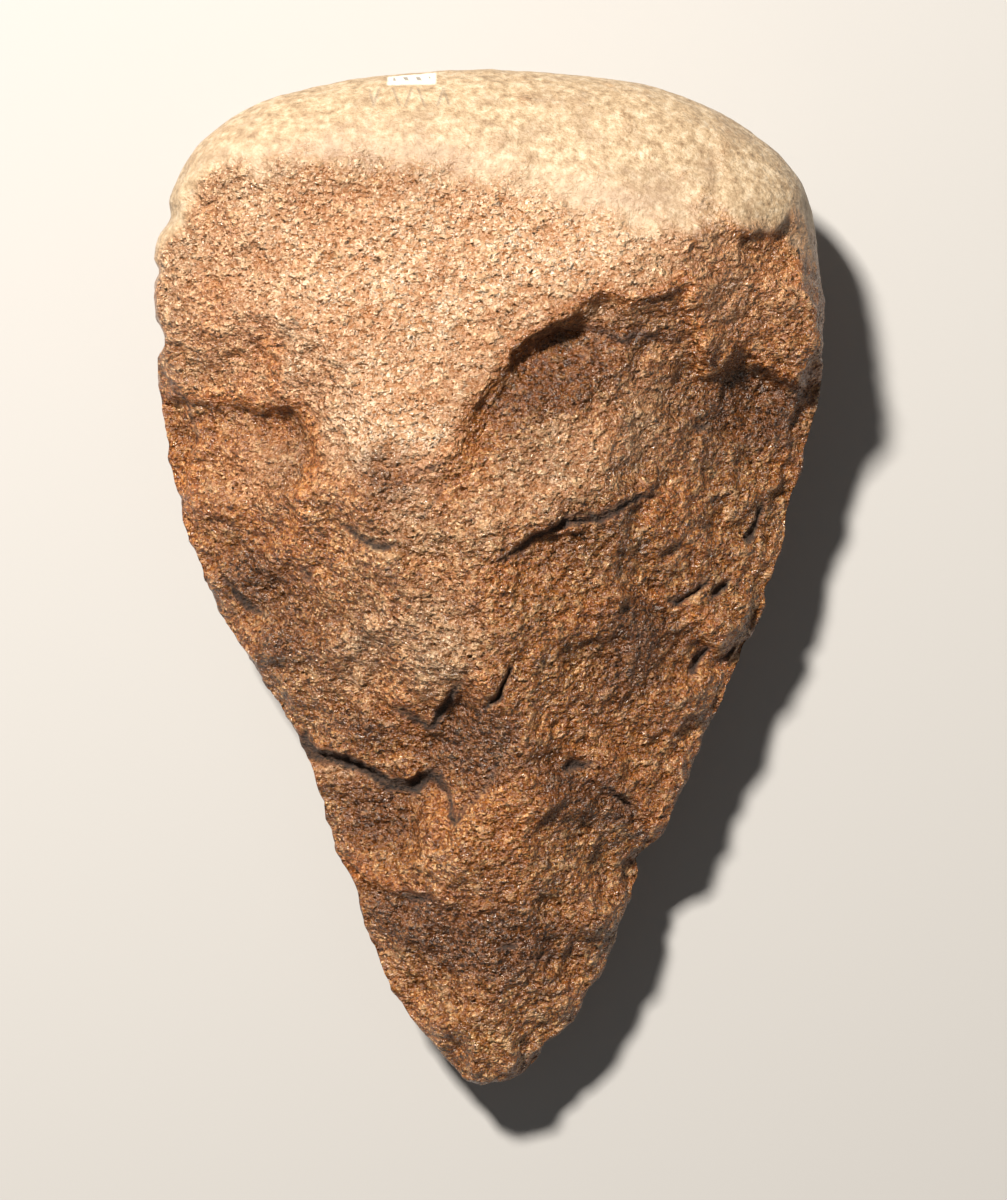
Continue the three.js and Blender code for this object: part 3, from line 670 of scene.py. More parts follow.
# Shares of the length from the middle, over which skin starts to be kept
SKIN_FROM, SKIN_FULL = 0.27, 0.35
near_butt = smooth((grid_y / LENGTH - SKIN_FROM) / (SKIN_FULL - SKIN_FROM))
border = np.array([
    noise.noise(Vector((a / BORDER_SIZE, b / BORDER_SIZE, 0))) for a, b in zip(grid_x, grid_y)
])
skin_share = (1 - smooth((skin - rise + BORDER_DEPTH * border) / SKIN_WEAR)) * near_butt
print("share of the points with skin:", round(float(skin_share.mean()), 3))

# %% Share of the bleaching
BLEACHING = 0.89
# How much of the bleaching is lost past a step, and the drop in mm at which it is lost
BLEACHING_ENDS_AT = ("great scarp", "left scar rim")
LOST_PAST_STEP, LOST_AT_DROP = 0.9, 1.4
# How much is lost in the scar on the right, and the depths in mm where that starts and ends
LOST_IN_SCAR, SCAR_LOSS_FROM, SCAR_LOSS_FULL = 0.75, 0.2, 1.1
bleached = spots(BLEACHED)
for name in BLEACHING_ENDS_AT:
    drop = step_drop(UPPER_STEPS[name], step_x, step_y)
    bleached *= 1 - LOST_PAST_STEP * smooth(drop / LOST_AT_DROP)
plateau_height = facet_height(UPPER_FACETS[0], UPPER_RISE, wander_x, wander_y)
cut_deeper = plateau_height - scar_height(RIGHT_TOP_SCAR, wander_x, wander_y)
scar_loss = smooth((cut_deeper - SCAR_LOSS_FROM) / (SCAR_LOSS_FULL - SCAR_LOSS_FROM))
bleached *= BLEACHING * (1 - LOST_IN_SCAR * scar_loss)
for item in PALE_PLACES:
    bleached = np.maximum(bleached, item[4] * spot(item, wander_x, wander_y))
print("share of the points bleached:", round(float(bleached.mean()), 3))

# %% Shares of grey, rust, stain and painted shade
RUST_IN_PLACES = 0.6
RUST_ON_LIP = 0.9
LIP_WIDTH = 1.4
FACE_FADE = 5.0
FULL_DROP = 0.85
# Painted shade on the ground just below the steps in SHADED_STEPS: its strength, and its fade in mm.
SHADE_BELOW_STEPS = 0.8
SHADE_BELOW_FADE = 7.0
SHADED_STEPS = ("great scarp", "left scar rim", "tongue", "lower step", "terrace",
                "right lower hollow", "right middle hollow", "long split")


def beside_steps(steps, x, y):
    """Two shares: rust on the steep face and lip of a step, and painted shade on the ground just
    below it.
    """
    face_share, shade_below_share = np.zeros((2, len(x)))
    for name, step in steps.items():
        drops = step_drop(step, x, y)
        down = np.clip(drops / (FULL_DROP * drops.max()), 0, 1)
        off = distance_to_path(chain_of(step[2]), x, y)
        on_face = 4 * down * (1 - down) * np.exp(-((off / FACE_FADE) ** 2))
        on_lip = RUST_ON_LIP * np.exp(-((off / LIP_WIDTH) ** 2))
        face_share = np.maximum(face_share, np.maximum(on_face, on_lip))
        # Painted shade on the ground below the step, as if the step shadowed it.
        if name in SHADED_STEPS:
            shade_below_share = np.maximum(shade_below_share, down**3 * np.exp(-off / SHADE_BELOW_FADE))
    return face_share, shade_below_share


face_share, shade_below_share = beside_steps(UPPER_STEPS, step_x, step_y)
greyed = spots(GREYED)
rusted = np.clip(spots(RUSTED) * RUST_IN_PLACES + face_share * grid_top, 0, 1)
# The dark share holds both stain and painted shade below the steps.
stain_and_shade = np.clip(spots(STAIN_AND_SHADE_SPOTS) + SHADE_BELOW_STEPS * shade_below_share, 0, 1) * grid_top
print("share of the points stained:", round(float(stain_and_shade.mean()), 3))

# %% Build the mesh
# Depth in mm of a split that gets its full painted shade, and width in mm of the calmer strip at the
# edge
FULL_SPLIT_SHADE_DEPTH = 0.9
CALM_EDGE = 2.5
around_count = len(slices)
tip = (*left_edge[0], float(edge_height(left_edge[:1, 1], np.zeros(1), np.zeros(1))[0]))
butt = (*left_edge[-1], float(edge_height(left_edge[-1:, 1], np.zeros(1), np.zeros(1))[0]))
points = np.vstack([np.c_[grid_x, grid_y, grid_z], tip, butt]) * MILLIMETRE
tip_index, butt_index = len(grid_x), len(grid_x) + 1
faces = []
for row in range(ROWS - 2):
    for i in range(around_count):
        j = (i + 1) % around_count
        low, high = row * around_count, (row + 1) * around_count
        faces.append((low + i, low + j, high + j, high + i))
last_row = (ROWS - 2) * around_count
for i in range(around_count):
    j = (i + 1) % around_count
    faces.append((tip_index, j, i))
    faces.append((butt_index, last_row + i, last_row + j))
mesh = bpy.data.meshes.new("rough_stone")
mesh.from_pydata(points.tolist(), [], faces)
for name, values in (
    ("skin", skin_share), ("bleached", bleached), ("greyed", greyed), ("rusted", rusted),
    ("stain_and_shade", stain_and_shade), ("split_shade", smooth(split_shade / FULL_SPLIT_SHADE_DEPTH)),
    ("inset", smooth(inset / CALM_EDGE)),
):
    layer = mesh.attributes.new(name, "FLOAT", "POINT")
    layer.data.foreach_set("value", np.r_[values, values[0], values[-1]].astype(np.float32))
mesh.update()
rough = bpy.data.objects.new("rough_stone", mesh)
bpy.context.scene.collection.objects.link(rough)


def volume_of(mesh):
    """Volume inside a closed mesh, positive when its faces point outwards."""
    mesh.calc_loop_triangles()
    corners = np.empty(3 * len(mesh.vertices), np.float32)
    mesh.vertices.foreach_get("co", corners)
    corners = corners.reshape(-1, 3).astype(float)
    triangles = np.empty(3 * len(mesh.loop_triangles), np.int32)
    mesh.loop_triangles.foreach_get("vertices", triangles)
    a, b, c = (corners[triangles.reshape(-1, 3)[:, k]] for k in range(3))
    return float(np.einsum("ij,ij->i", a, np.cross(b, c)).sum() / 6)


print("triangles:", sum(len(corners) - 2 for corners in faces))
print("volume in cubic centimetres:", round(volume_of(mesh) * 1e6, 1))

# %% [markdown]
# ## One helper for nodes
#
# Node trees are made in code. The helper adds one node, sets its properties, and fills or links its
# inputs.

# %% Node and colour helpers
def add(tree, kind, inputs=None, **settings):
    """A new node, with its settings, and its inputs filled or linked."""
    node = tree.nodes.new(kind)
    for name, value in settings.items():
        setattr(node, name, value)
    for name, value in (inputs or {}).items():
        if isinstance(value, bpy.types.NodeSocket):
            tree.links.new(value, node.inputs[name])
        else:
            node.inputs[name].default_value = value
    return node


def linear(hex_colour):
    """An sRGB hex colour as linear red, green, blue and alpha."""
    parts = [int(hex_colour[i : i + 2], 16) / 255 for i in (1, 3, 5)]
    return (*(c / 12.92 if c <= 0.04045 else ((c + 0.055) / 1.055) ** 2.4 for c in parts), 1.0)


print("middle grey in linear light:", round(linear("#808080")[0], 3))

# %% [markdown]
# ## The broken surface
#
# A break in coarse quartzite runs round the sand grains, so it is lumpy at every size: low lumps
# of about 11 mm, ripples of about 4 mm, and grit. Geometry Nodes push the points along
# their normals by three noises. On the smooth skin the push is small, and where the stone is
# bleached it is calmer. Sizes are in metres. The grit is coarser than the real grains, because the
# mesh can't carry them, and the material's bump does the rest.

# %% Geometry Nodes for the broken surface
STREAK_TURN = math.radians(14)
RELIEF_INPUTS = {
    "Lump Size": 0.011, "Lump Depth": 0.0026,
    "Ripple Size": 0.0042, "Ripple Stretch": 0.75, "Ripple Depth": 0.0028,
    "Grit Size": 0.0016, "Grit Depth": 0.0008,
    "Left on Skin": 0.25, "Left where Bleached": 0.65,
}


def broken_surface_tree():
    """The node group that roughens the stone, rests it on the floor and gives it its material."""
    tree = bpy.data.node_groups.new("broken_surface", "GeometryNodeTree")
    tree.interface.new_socket("Geometry", in_out="INPUT", socket_type="NodeSocketGeometry")
    for name, value in RELIEF_INPUTS.items():
        socket = tree.interface.new_socket(name, in_out="INPUT", socket_type="NodeSocketFloat")
        socket.default_value = value
    tree.interface.new_socket("Material", in_out="INPUT", socket_type="NodeSocketMaterial")
    tree.interface.new_socket("Geometry", in_out="OUTPUT", socket_type="NodeSocketGeometry")
    given = add(tree, "NodeGroupInput").outputs
    position = add(tree, "GeometryNodeInputPosition").outputs["Position"]
    normal = add(tree, "GeometryNodeInputNormal").outputs["Normal"]

    def noise_push(size, depth, coordinates, detail, seed):
        """A noise of one size, from minus to plus its depth."""
        scale = add(tree, "ShaderNodeMath", {0: 1.0, 1: size}, operation="DIVIDE")
        texture = add(tree, "ShaderNodeTexNoise", {
            "Vector": coordinates, "W": seed, "Scale": scale.outputs[0], "Detail": detail,
            "Roughness": 0.55,
        }, noise_dimensions="4D")
        centred = add(tree, "ShaderNodeMath", {0: texture.outputs[0], 1: 0.5}, operation="SUBTRACT")
        return add(tree, "ShaderNodeMath", {0: centred.outputs[0], 1: depth},
                   operation="MULTIPLY").outputs[0]

    lumps = noise_push(given["Lump Size"], given["Lump Depth"], position, 2.0, 3.1)
    turned = add(tree, "ShaderNodeVectorRotate", {"Vector": position, "Angle": STREAK_TURN},
                 rotation_type="Z_AXIS")
    stretch = add(tree, "ShaderNodeCombineXYZ", {"X": given["Ripple Stretch"], "Y": 1.0, "Z": 1.0})
    drawn = add(tree, "ShaderNodeVectorMath", {0: turned.outputs[0], 1: stretch.outputs[0]},
                operation="MULTIPLY")
    ripples = noise_push(given["Ripple Size"], given["Ripple Depth"], drawn.outputs[0], 2.0, 7.7)
    grit = noise_push(given["Grit Size"], given["Grit Depth"], position, 1.0, 1.3)
    rough_push = add(tree, "ShaderNodeMath", {0: ripples, 1: grit}, operation="ADD")
    inset_share = add(tree, "GeometryNodeInputNamedAttribute", {"Name": "inset"},
                      data_type="FLOAT").outputs["Attribute"]
    lump_push = add(tree, "ShaderNodeMath", {0: lumps, 1: inset_share}, operation="MULTIPLY")
    push = add(tree, "ShaderNodeMath", {0: rough_push.outputs[0], 1: lump_push.outputs[0]},
               operation="ADD")
    skin_left = add(tree, "GeometryNodeInputNamedAttribute", {"Name": "skin"},
                    data_type="FLOAT").outputs["Attribute"]
    keep = add(tree, "ShaderNodeMapRange", {
        "Value": skin_left, "From Min": 0.0, "From Max": 1.0, "To Min": 1.0,
        "To Max": given["Left on Skin"],
    })
    bleached_share = add(tree, "GeometryNodeInputNamedAttribute", {"Name": "bleached"},
                         data_type="FLOAT").outputs["Attribute"]
    calm = add(tree, "ShaderNodeMapRange", {
        "Value": bleached_share, "From Min": 0.0, "From Max": 1.0, "To Min": 1.0,
        "To Max": given["Left where Bleached"],
    })
    kept_share = add(tree, "ShaderNodeMath", {0: keep.outputs[0], 1: calm.outputs[0]},
                     operation="MULTIPLY")
    kept = add(tree, "ShaderNodeMath", {0: push.outputs[0], 1: kept_share.outputs[0]},
               operation="MULTIPLY")
    offset = add(tree, "ShaderNodeVectorMath", {0: normal, "Scale": kept.outputs[0]},
                 operation="SCALE")
    moved = add(tree, "GeometryNodeSetPosition", {
        "Geometry": given["Geometry"], "Offset": offset.outputs[0],
    })
    parts = add(tree, "ShaderNodeSeparateXYZ", {"Vector": position})
    lifted = add(tree, "ShaderNodeMath", {0: parts.outputs["Z"], 1: 0.0}, operation="MAXIMUM")
    above = add(tree, "ShaderNodeCombineXYZ", {
        "X": parts.outputs["X"], "Y": parts.outputs["Y"], "Z": lifted.outputs[0],
    })
    rested = add(tree, "GeometryNodeSetPosition", {
        "Geometry": moved.outputs[0], "Position": above.outputs[0],
    })
    shaded = add(tree, "GeometryNodeSetShadeSmooth", {"Geometry": rested.outputs[0]})
    realized = add(tree, "GeometryNodeRealizeInstances", {"Geometry": shaded.outputs[0]})
    finished = add(tree, "GeometryNodeSetMaterial", {
        "Geometry": realized.outputs[0], "Material": given["Material"],
    })
    add(tree, "NodeGroupOutput", {"Geometry": finished.outputs[0]})
    return tree


# %% [markdown]
# ## Quartzite and its skin
#
# Quartzite is sand that was pressed and cemented until it is one mass of quartz. A broken face is a
# crust of sand grains, each with its own small flat break, so each grain throws light its own way
# and some of them glint. Iron between the grains stains it orange and brown. The skin is the same
# stone worn smooth and weathered to a pale, dull buff. Both are one material, mixed by the share of
# skin, because they are one stone.
#
# Every pattern reads Object coordinates, and its size is that of the real thing in metres. The
# first function makes the patterns, which colour and relief both read, so that a pale grain is also
# a grain that leans its own way.

# %% Patterns of the stone
GRAIN = 0.00036
GRAIN_STRETCH = (0.88, 1.0, 1.0)
LUMP = 0.0016
LUMP_STRETCH = (0.8, 1.0, 1.0)
SWIRL = 0.0025
SWIRL_REACH = 0.0008
FINE_RELIEF = 0.0009
MOTTLE = 0.0017
RUST_PATCH = 0.009
SKIN_GRAIN = 0.0016
SKIN_STAIN = 0.007


def stone_patterns(tree):
    """The patterns of grains, lumps and stains, by name."""
    coords = add(tree, "ShaderNodeTexCoord").outputs["Object"]
    swirl = add(tree, "ShaderNodeTexNoise", {"Vector": coords, "Scale": 1 / SWIRL, "Detail": 2.0})
    centred = add(tree, "ShaderNodeVectorMath", {0: swirl.outputs["Color"], 1: (0.5, 0.5, 0.5)},
                  operation="SUBTRACT")
    push = add(tree, "ShaderNodeVectorMath", {0: centred.outputs[0], 1: (SWIRL_REACH,) * 3},
               operation="MULTIPLY")
    swirled = add(tree, "ShaderNodeVectorMath", {0: coords, 1: push.outputs[0]}, operation="ADD")
    grain_place = add(tree, "ShaderNodeMapping", {
        "Vector": coords, "Rotation": (0, 0, STREAK_TURN), "Scale": GRAIN_STRETCH,
    }).outputs[0]
    lump_place = add(tree, "ShaderNodeMapping", {
        "Vector": swirled.outputs[0], "Rotation": (0, 0, STREAK_TURN), "Scale": LUMP_STRETCH,
    }).outputs[0]
    grains = add(tree, "ShaderNodeTexVoronoi", {"Vector": grain_place, "Scale": 1 / GRAIN})
    channels = add(tree, "ShaderNodeSeparateColor", {"Color": grains.outputs["Color"]}).outputs
    lumps = add(tree, "ShaderNodeTexVoronoi", {"Vector": lump_place, "Scale": 1 / LUMP},
                feature="DISTANCE_TO_EDGE").outputs["Distance"]
    patterns = {
        "coords": coords, "grain lean": grains.outputs["Color"], "grain tone": channels[0],
        "grain gloss": channels[1], "lumps": lumps,
    }
    for name, place_on_stone, size, detail, roughness in (
        ("fine", grain_place, FINE_RELIEF, 3.0, 0.7),
        ("mottle", lump_place, MOTTLE, 4.0, 0.55),
        ("rust patches", coords, RUST_PATCH, 5.0, 0.6),
        ("skin grain", coords, SKIN_GRAIN, 6.0, 0.7),
        ("skin stain", coords, SKIN_STAIN, 6.0, 0.65),
    ):
        patterns[name] = add(tree, "ShaderNodeTexNoise", {
            "Vector": place_on_stone, "Scale": 1 / size, "Detail": detail, "Roughness": roughness,
        }).outputs[0]
    return patterns


# %% [markdown]
# ## Colours of the stone
#
# Each kind of stone has a ramp from its darkest grains to its palest. The colour is built up in
# layers, as the stone itself was: brown quartzite, bleached in places, with grey, rust and stain
# over it. Painted shade lies on the ground below the steps. Then come pits and crests that follow
# the mottle: the pits, orange where bleached, are partly iron stain and partly painted shade, and
# the pale crests are a painted highlight. The skin lies over all of that, and painted shade in the
# splits.

# %% Colours in layers
# The pattern that picks the tone, then stops from the darkest grain to the palest
TONES = {
    "brown": ("grain tone", (0.0, "#4C2A0B"), (0.45, "#7A481A"), (0.8, "#A46C30"), (1.0, "#E6C08C")),
    "pale": ("grain tone", (0.0, "#AE7B4E"), (0.3, "#D2AD88"), (0.7, "#E3C8A9"), (1.0, "#FDEFDC")),
    "grey": ("grain tone", (0.0, "#6E5138"), (0.5, "#A3835F"), (1.0, "#E6D2B8")),
    "rust": ("grain tone", (0.0, "#6E3209"), (0.5, "#A85C1C"), (1.0, "#DA964E")),
    # The stain tone also paints the shade below the steps.
    "stain": ("grain tone", (0.0, "#200C02"), (0.5, "#3D1D07"), (1.0, "#7C4F26")),
    "skin": ("skin grain", (0.3, "#846A4C"), (0.5, "#B7A080"), (0.7, "#D8C9B0")),
}
# The pit colours are partly iron stain and partly painted shade in the mottle's hollows. The crest
# colour is a painted highlight. The darkest colour is painted shade in the splits.
PIT_STAIN_AND_SHADE, BLEACHED_PIT_STAIN_AND_SHADE, VALLEY, CREST_HIGHLIGHT = "#5A3210", "#B07440", "#96561F", "#E0BC90"
SKIN_STAIN_COLOUR, GREY_SKIN, SPLIT_SHADE_COLOUR = "#8A7056", "#A58A74", "#1A0D06"
CREST_HIGHLIGHT_SHARE, CREST_HIGHLIGHT_SHARE_WHERE_DARK = 0.4, 0.1


def tone_ramps(tree, patterns):
    """The ramp of each tone, as a colour for every place."""
    tones = {}
    for name, (pattern, *stops) in TONES.items():
        ramp = add(tree, "ShaderNodeValToRGB", {"Fac": patterns[pattern]})
        elements = ramp.color_ramp.elements
        while len(elements) < len(stops):
            elements.new(1.0)
        for element, (at, colour) in zip(elements, stops):
            element.position = at
            element.color = linear(colour)
        tones[name] = ramp.outputs["Color"]
    return tones


def layered(tree, colour, layers):
    """Colours over each other: a value, where it starts and ends to count, most share, colour."""
    for value, start, end, most, top in layers:
        amount = add(tree, "ShaderNodeMapRange", {
            "Value": value, "From Min": start, "From Max": end, "To Max": most,
        })
        colour = add(tree, "ShaderNodeMix", {0: amount.outputs[0], 6: colour, 7: top},
                     data_type="RGBA").outputs[2]
    return colour


def stone_colour(tree, shares, patterns):
    """Colour of the broken stone and its skin, with painted shade in the splits."""
    tones = tone_ramps(tree, patterns)
    pit_stain_and_shade = layered(tree, linear(PIT_STAIN_AND_SHADE), [(shares["bleached"], 0.0, 1.0, 1.0, linear(BLEACHED_PIT_STAIN_AND_SHADE))])
    # The painted highlight on the crests is weaker where the ground is stained or painted as shade.
    crest_highlight_share = add(tree, "ShaderNodeMapRange", {
        "Value": shares["stain_and_shade"], "To Min": CREST_HIGHLIGHT_SHARE, "To Max": CREST_HIGHLIGHT_SHARE_WHERE_DARK,
    }).outputs[0]
    stone = layered(tree, tones["brown"], [
        (shares["bleached"], 0.0, 1.0, 1.0, tones["pale"]),
        (shares["greyed"], 0.0, 1.0, 0.6, tones["grey"]),
        (patterns["rust patches"], 0.42, 0.68, 0.5, tones["rust"]),
        (shares["rusted"], 0.0, 1.0, 0.75, tones["rust"]),
        # This share is dark stain together with painted shade below the steps.
        (shares["stain_and_shade"], 0.0, 1.0, 0.9, tones["stain"]),
        (patterns["lumps"], 0.16, 0.0, 0.4, linear(VALLEY)),
        # Pits in the mottle's hollows, partly iron stain and partly painted shade, and a painted
        # highlight on its crests.
        (patterns["mottle"], 0.52, 0.36, 0.5, pit_stain_and_shade),
        (patterns["mottle"], 0.54, 0.68, crest_highlight_share, linear(CREST_HIGHLIGHT)),
    ])
    skin = layered(tree, tones["skin"], [
        (patterns["skin stain"], 0.5, 0.68, 0.6, linear(SKIN_STAIN_COLOUR)),
        (shares["greyed"], 0.0, 1.0, 0.5, linear(GREY_SKIN)),
    ])
    return layered(tree, stone, [
        (shares["skin"], 0.0, 1.0, 1.0, skin),
        # Painted shade in the splits.
        (shares["split_shade"], 0.0, 1.0, 0.9, linear(SPLIT_SHADE_COLOUR)),
    ])


# %% [markdown]
# ## A painted patch and faint strokes
#
# The butt has a small patch of white paint at its rim, with dark dashes on it, and a row of faint
# pencil strokes below it. They are only colour, so the shader draws them: a soft box on the ground
# plan for each area, and thin leaning lines that repeat inside it. The height limit keeps them off
# the side of the butt.

# %% Patch and strokes
# Least and most x, least and most y, softness of the border
PAINTED_PATCH = (-0.0167, -0.0087, 0.0814, 0.0838, 0.0002)
PATCH_DASHES = (-0.0158, -0.0096, 0.0822, 0.0830, 0.0001)
PENCIL_ROW = (-0.0196, -0.0059, 0.0774, 0.0808, 0.0002)
RIM_TOP = 0.0292
RIM_FADE = 0.0004
# Spacing, lean, and width and fade as shares of the spacing
PENCIL_STROKES = ((0.0041, 0.35, 0.07, 0.08), (0.0053, -0.3, 0.05, 0.08))
DASH_STROKES = (0.0021, 0.5, 0.3, 0.08)
PENCIL, PAINT, DASH = "#6E6052", "#EFEAE0", "#4A4038"


def inside_box(tree, apart, box):
    """1 inside a box of the ground plan on the upper side, and 0 outside it."""
    low_x, high_x, low_y, high_y, soft = box
    inside = 1.0
    for axis, start, end in (
        ("X", low_x - soft, low_x + soft), ("X", high_x + soft, high_x - soft),
        ("Y", low_y - soft, low_y + soft), ("Y", high_y + soft, high_y - soft),
        ("Z", RIM_TOP, RIM_TOP + RIM_FADE),
    ):
        side = add(tree, "ShaderNodeMapRange", {
            "Value": apart[axis], "From Min": start, "From Max": end,
        })
        inside = add(tree, "ShaderNodeMath", {0: side.outputs[0], 1: inside},
                     operation="MULTIPLY").outputs[0]
    return inside


def strokes(tree, apart, spacing, lean, width, fade):
    """Thin leaning lines, a fixed distance apart."""
    leant = add(tree, "ShaderNodeMath", {0: apart["Y"], 1: lean, 2: apart["X"]},
                operation="MULTIPLY_ADD")
    count = add(tree, "ShaderNodeMath", {0: leant.outputs[0], 1: spacing}, operation="DIVIDE")
    share = add(tree, "ShaderNodeMath", {0: count.outputs[0]}, operation="FRACT")
    return add(tree, "ShaderNodeMapRange", {
        "Value": share.outputs[0], "From Min": width + fade, "From Max": width,
    }).outputs[0]


def with_marks(tree, colour, coords):
    """The stone's colour with the patch and the strokes over it."""
    apart = add(tree, "ShaderNodeSeparateXYZ", {"Vector": coords}).outputs
    first, second = (strokes(tree, apart, *given) for given in PENCIL_STROKES)
    either = add(tree, "ShaderNodeMath", {0: first, 1: second}, operation="MAXIMUM").outputs[0]
    pencil = add(tree, "ShaderNodeMath", {0: either, 1: inside_box(tree, apart, PENCIL_ROW)},
                 operation="MULTIPLY").outputs[0]
    dashes = add(tree, "ShaderNodeMath", {
        0: strokes(tree, apart, *DASH_STROKES), 1: inside_box(tree, apart, PATCH_DASHES),
    }, operation="MULTIPLY").outputs[0]
    return layered(tree, colour, [
        (pencil, 0.0, 1.0, 0.5, linear(PENCIL)),
        (inside_box(tree, apart, PAINTED_PATCH), 0.0, 1.0, 1.0, linear(PAINT)),
        (dashes, 0.0, 1.0, 0.7, linear(DASH)),
    ])


# %% [markdown]
# ## Grains that catch the light
#
# Each grain's normal leans its own way, which makes the glitter of broken quartzite. A bump adds
# the hollows between grains and lumps. The lean and the bump are weak on the skin, where the grains
# are worn level. Quartz has an IOR of 1.54. Broken grains are glossy, the skin is dull, and the
# splits, which are painted dark as shade, are matt.

# %% Quartzite
GRAIN_LEAN, SKIN_LEAN = 1.05, 0.25
LUMP_SHOULDER = 0.35
BUMP_DISTANCE = 0.0010
# Depth of each pattern on broken stone and on the skin
BUMP_DEPTHS = {"lumps": (0.22, 0.04), "fine": (0.6, 0.35), "mottle": (2.0, 0.15)}
BRIGHTEST_GRAIN, DULLEST_GRAIN = 0.14, 0.45
SKIN_ROUGHNESS, SPLIT_ROUGHNESS = 0.62, 0.95
SPLIT_TURNS_MATT = 0.6
QUARTZ_IOR = 1.54
QUARTZ_SPECULAR = 0.9


def grain_normal(tree, shares, patterns):
    """The way each grain faces, with the bumps between the grains."""
    lean_size = add(tree, "ShaderNodeMapRange", {
        "Value": shares["skin"], "To Min": GRAIN_LEAN, "To Max": SKIN_LEAN,
    }).outputs[0]
    centred = add(tree, "ShaderNodeVectorMath", {0: patterns["grain lean"], 1: (0.5, 0.5, 0.5)},
                  operation="SUBTRACT").outputs[0]
    lean = add(tree, "ShaderNodeVectorMath", {0: centred, "Scale": lean_size}, operation="SCALE")
    facing = add(tree, "ShaderNodeNewGeometry").outputs["Normal"]
    leant = add(tree, "ShaderNodeVectorMath", {0: facing, 1: lean.outputs[0]}, operation="ADD")
    normal = add(tree, "ShaderNodeVectorMath", {0: leant.outputs[0]}, operation="NORMALIZE")
    lump_rise = add(tree, "ShaderNodeMapRange", {
        "Value": patterns["lumps"], "From Max": LUMP_SHOULDER,
    }).outputs[0]
    height = 0.0
    for name, (on_stone, on_skin) in BUMP_DEPTHS.items():
        depth = add(tree, "ShaderNodeMapRange", {
            "Value": shares["skin"], "To Min": on_stone, "To Max": on_skin,
        }).outputs[0]
        pattern = lump_rise if name == "lumps" else patterns[name]
        height = add(tree, "ShaderNodeMath", {0: pattern, 1: depth, 2: height},
                     operation="MULTIPLY_ADD").outputs[0]
    return add(tree, "ShaderNodeBump", {
        "Strength": 1.0, "Distance": BUMP_DISTANCE, "Height": height, "Normal": normal.outputs[0],
    }).outputs[0]


def quartzite_material():
    """Coarse orange-brown quartzite, broken and weathered, with its worn pale skin."""
    material = bpy.data.materials.new("quartzite_broken_and_weathered")
    material.use_nodes = True
    tree = material.node_tree
    tree.nodes.clear()
    shares = {
        name: add(tree, "ShaderNodeAttribute", attribute_name=name).outputs["Fac"]
        for name in ("skin", "bleached", "greyed", "rusted", "stain_and_shade", "split_shade")
    }
    patterns = stone_patterns(tree)
    colour = with_marks(tree, stone_colour(tree, shares, patterns), patterns["coords"])
    grain_gloss = add(tree, "ShaderNodeMapRange", {
        "Value": patterns["grain gloss"], "To Min": BRIGHTEST_GRAIN, "To Max": DULLEST_GRAIN,
    })
    stone_gloss = add(tree, "ShaderNodeMapRange", {
        "Value": shares["skin"], "To Min": grain_gloss.outputs[0], "To Max": SKIN_ROUGHNESS,
    })
    roughness = add(tree, "ShaderNodeMapRange", {
        "Value": shares["split_shade"], "From Max": SPLIT_TURNS_MATT, "To Min": stone_gloss.outputs[0],
        "To Max": SPLIT_ROUGHNESS,
    })
    shader = add(tree, "ShaderNodeBsdfPrincipled", {
        "Base Color": colour, "Roughness": roughness.outputs[0],
        "Normal": grain_normal(tree, shares, patterns), "IOR": QUARTZ_IOR,
        "Specular IOR Level": QUARTZ_SPECULAR,
    })
    add(tree, "ShaderNodeOutputMaterial", {"Surface": shader.outputs[0]})
    return material


quartzite = quartzite_material()
print("nodes in the material:", len(quartzite.node_tree.nodes))

# %% Turn the rough stone into the finished one
tree = broken_surface_tree()
modifier = rough.modifiers.new("broken_surface", "NODES")
modifier.node_group = tree
for item in tree.interface.items_tree:
    if item.in_out == "INPUT" and item.name in RELIEF_INPUTS:
        modifier[item.identifier] = RELIEF_INPUTS[item.name]
    if item.in_out == "INPUT" and item.name == "Material":
        modifier[item.identifier] = quartzite
bpy.context.view_layer.update()
evaluated = rough.evaluated_get(bpy.context.evaluated_depsgraph_get())
stone_mesh = bpy.data.meshes.new_from_object(evaluated)
stone = bpy.data.objects.new("stone", stone_mesh)
bpy.context.scene.collection.objects.link(stone)
rough.modifiers.clear()
bpy.data.objects.remove(rough)
print("finished volume in cubic centimetres:", round(volume_of(stone_mesh) * 1e6, 1))

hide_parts("hand_axe")
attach(stone, "root")

# %% [markdown]
# ## Floor, light and camera
#
# The stone lies on a pale floor. A small strong lamp stands high beyond its butt and to the left,
# so every step that faces the tip falls into shade and single grains glint. A large weak lamp and
# the sky only lift the shadows. The camera looks straight down.

# %% Floor
HALF_FLOOR = 3.0
floor_mesh = bpy.data.meshes.new("floor")
floor_mesh.from_pydata(
    [(-HALF_FLOOR, -HALF_FLOOR, 0), (HALF_FLOOR, -HALF_FLOOR, 0), (HALF_FLOOR, HALF_FLOOR, 0),
     (-HALF_FLOOR, HALF_FLOOR, 0)], [], [(0, 1, 2, 3)])
floor = bpy.data.objects.new("floor", floor_mesh)
bpy.context.scene.collection.objects.link(floor)
floor_paint = bpy.data.materials.new("floor_paint")
floor_paint.use_nodes = True
floor_shader = floor_paint.node_tree.nodes["Principled BSDF"]
floor_shader.inputs["Base Color"].default_value = linear("#B6B8BA")
floor_shader.inputs["Roughness"].default_value = 0.9
floor_mesh.materials.append(floor_paint)
print("floor in metres:", 2 * HALF_FLOOR)

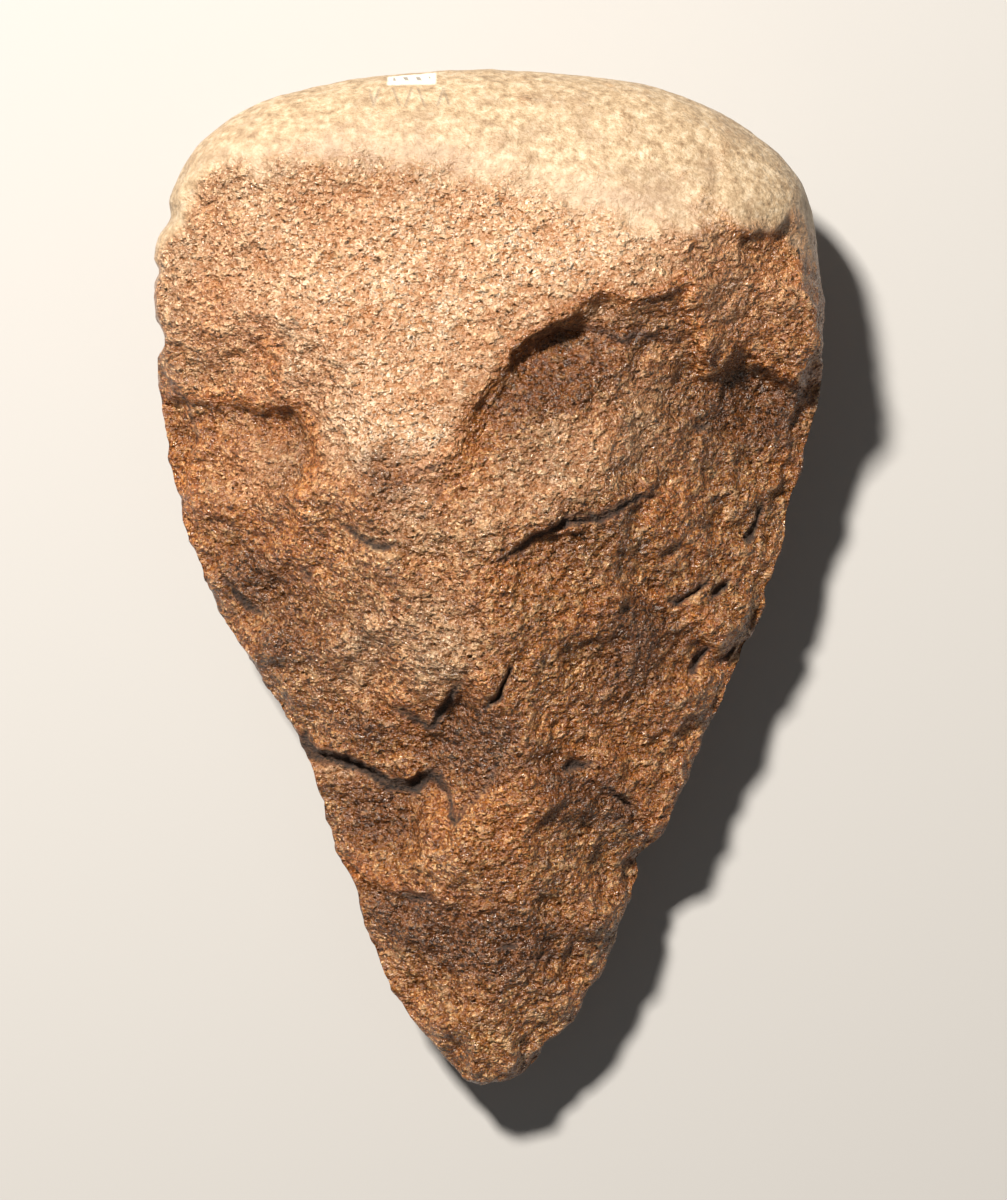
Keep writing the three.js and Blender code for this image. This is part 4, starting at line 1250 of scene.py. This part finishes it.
# %% Light
CENTRE = Vector((0, 0, 0.02))
SKY_STRENGTH = 0.09


def lamp(name, position, size, power, colour):
    """A square lamp that shines at the stone."""
    data = bpy.data.lights.new(name, "AREA")
    data.shape = "SQUARE"
    data.size = size
    data.energy = power
    data.color = linear(colour)[:3]
    thing = bpy.data.objects.new(name, data)
    thing.location = position
    thing.rotation_euler = (CENTRE - Vector(position)).to_track_quat("-Z", "Y").to_euler()
    bpy.context.scene.collection.objects.link(thing)


lamp("key", (-0.29, 0.43, 0.80), 0.10, 18.5, "#FFF4E6")
lamp("fill", (0.6, -0.5, 1.0), 0.9, 0.7, "#FFF4EA")
world = bpy.data.worlds.new("studio")
world.use_nodes = True
world.node_tree.nodes["Background"].inputs["Color"].default_value = linear("#F2EEE8")
world.node_tree.nodes["Background"].inputs["Strength"].default_value = SKY_STRENGTH
bpy.context.scene.world = world
bpy.context.scene.view_settings.view_transform = "Standard"
print("lamps:", len(bpy.data.lights))

# %% Camera
# Size of the picture, and where the stone's outline lies in it, in pixels
PHOTO_WIDTH, PHOTO_HEIGHT = 1007, 1200
STONE_LEFT, STONE_RIGHT, STONE_TOP, STONE_BOTTOM = 156, 822, 72, 1088
CAMERA_DISTANCE = 0.75
pixel = LENGTH * MILLIMETRE / (STONE_BOTTOM - STONE_TOP)
aim_x = (PHOTO_WIDTH / 2 - (STONE_LEFT + STONE_RIGHT) / 2) * pixel
aim_y = ((STONE_TOP + STONE_BOTTOM) / 2 - PHOTO_HEIGHT / 2) * pixel
camera_data = bpy.data.cameras.new("camera")
camera_data.sensor_fit = "VERTICAL"
camera_data.sensor_height = 24.0
camera_data.lens = camera_data.sensor_height * CAMERA_DISTANCE / (PHOTO_HEIGHT * pixel)
camera = bpy.data.objects.new("camera", camera_data)
camera.location = (aim_x, aim_y, CAMERA_DISTANCE + EDGE_HEIGHT * MILLIMETRE)
bpy.context.scene.collection.objects.link(camera)
bpy.context.scene.camera = camera
print("lens in mm:", round(camera_data.lens, 1))
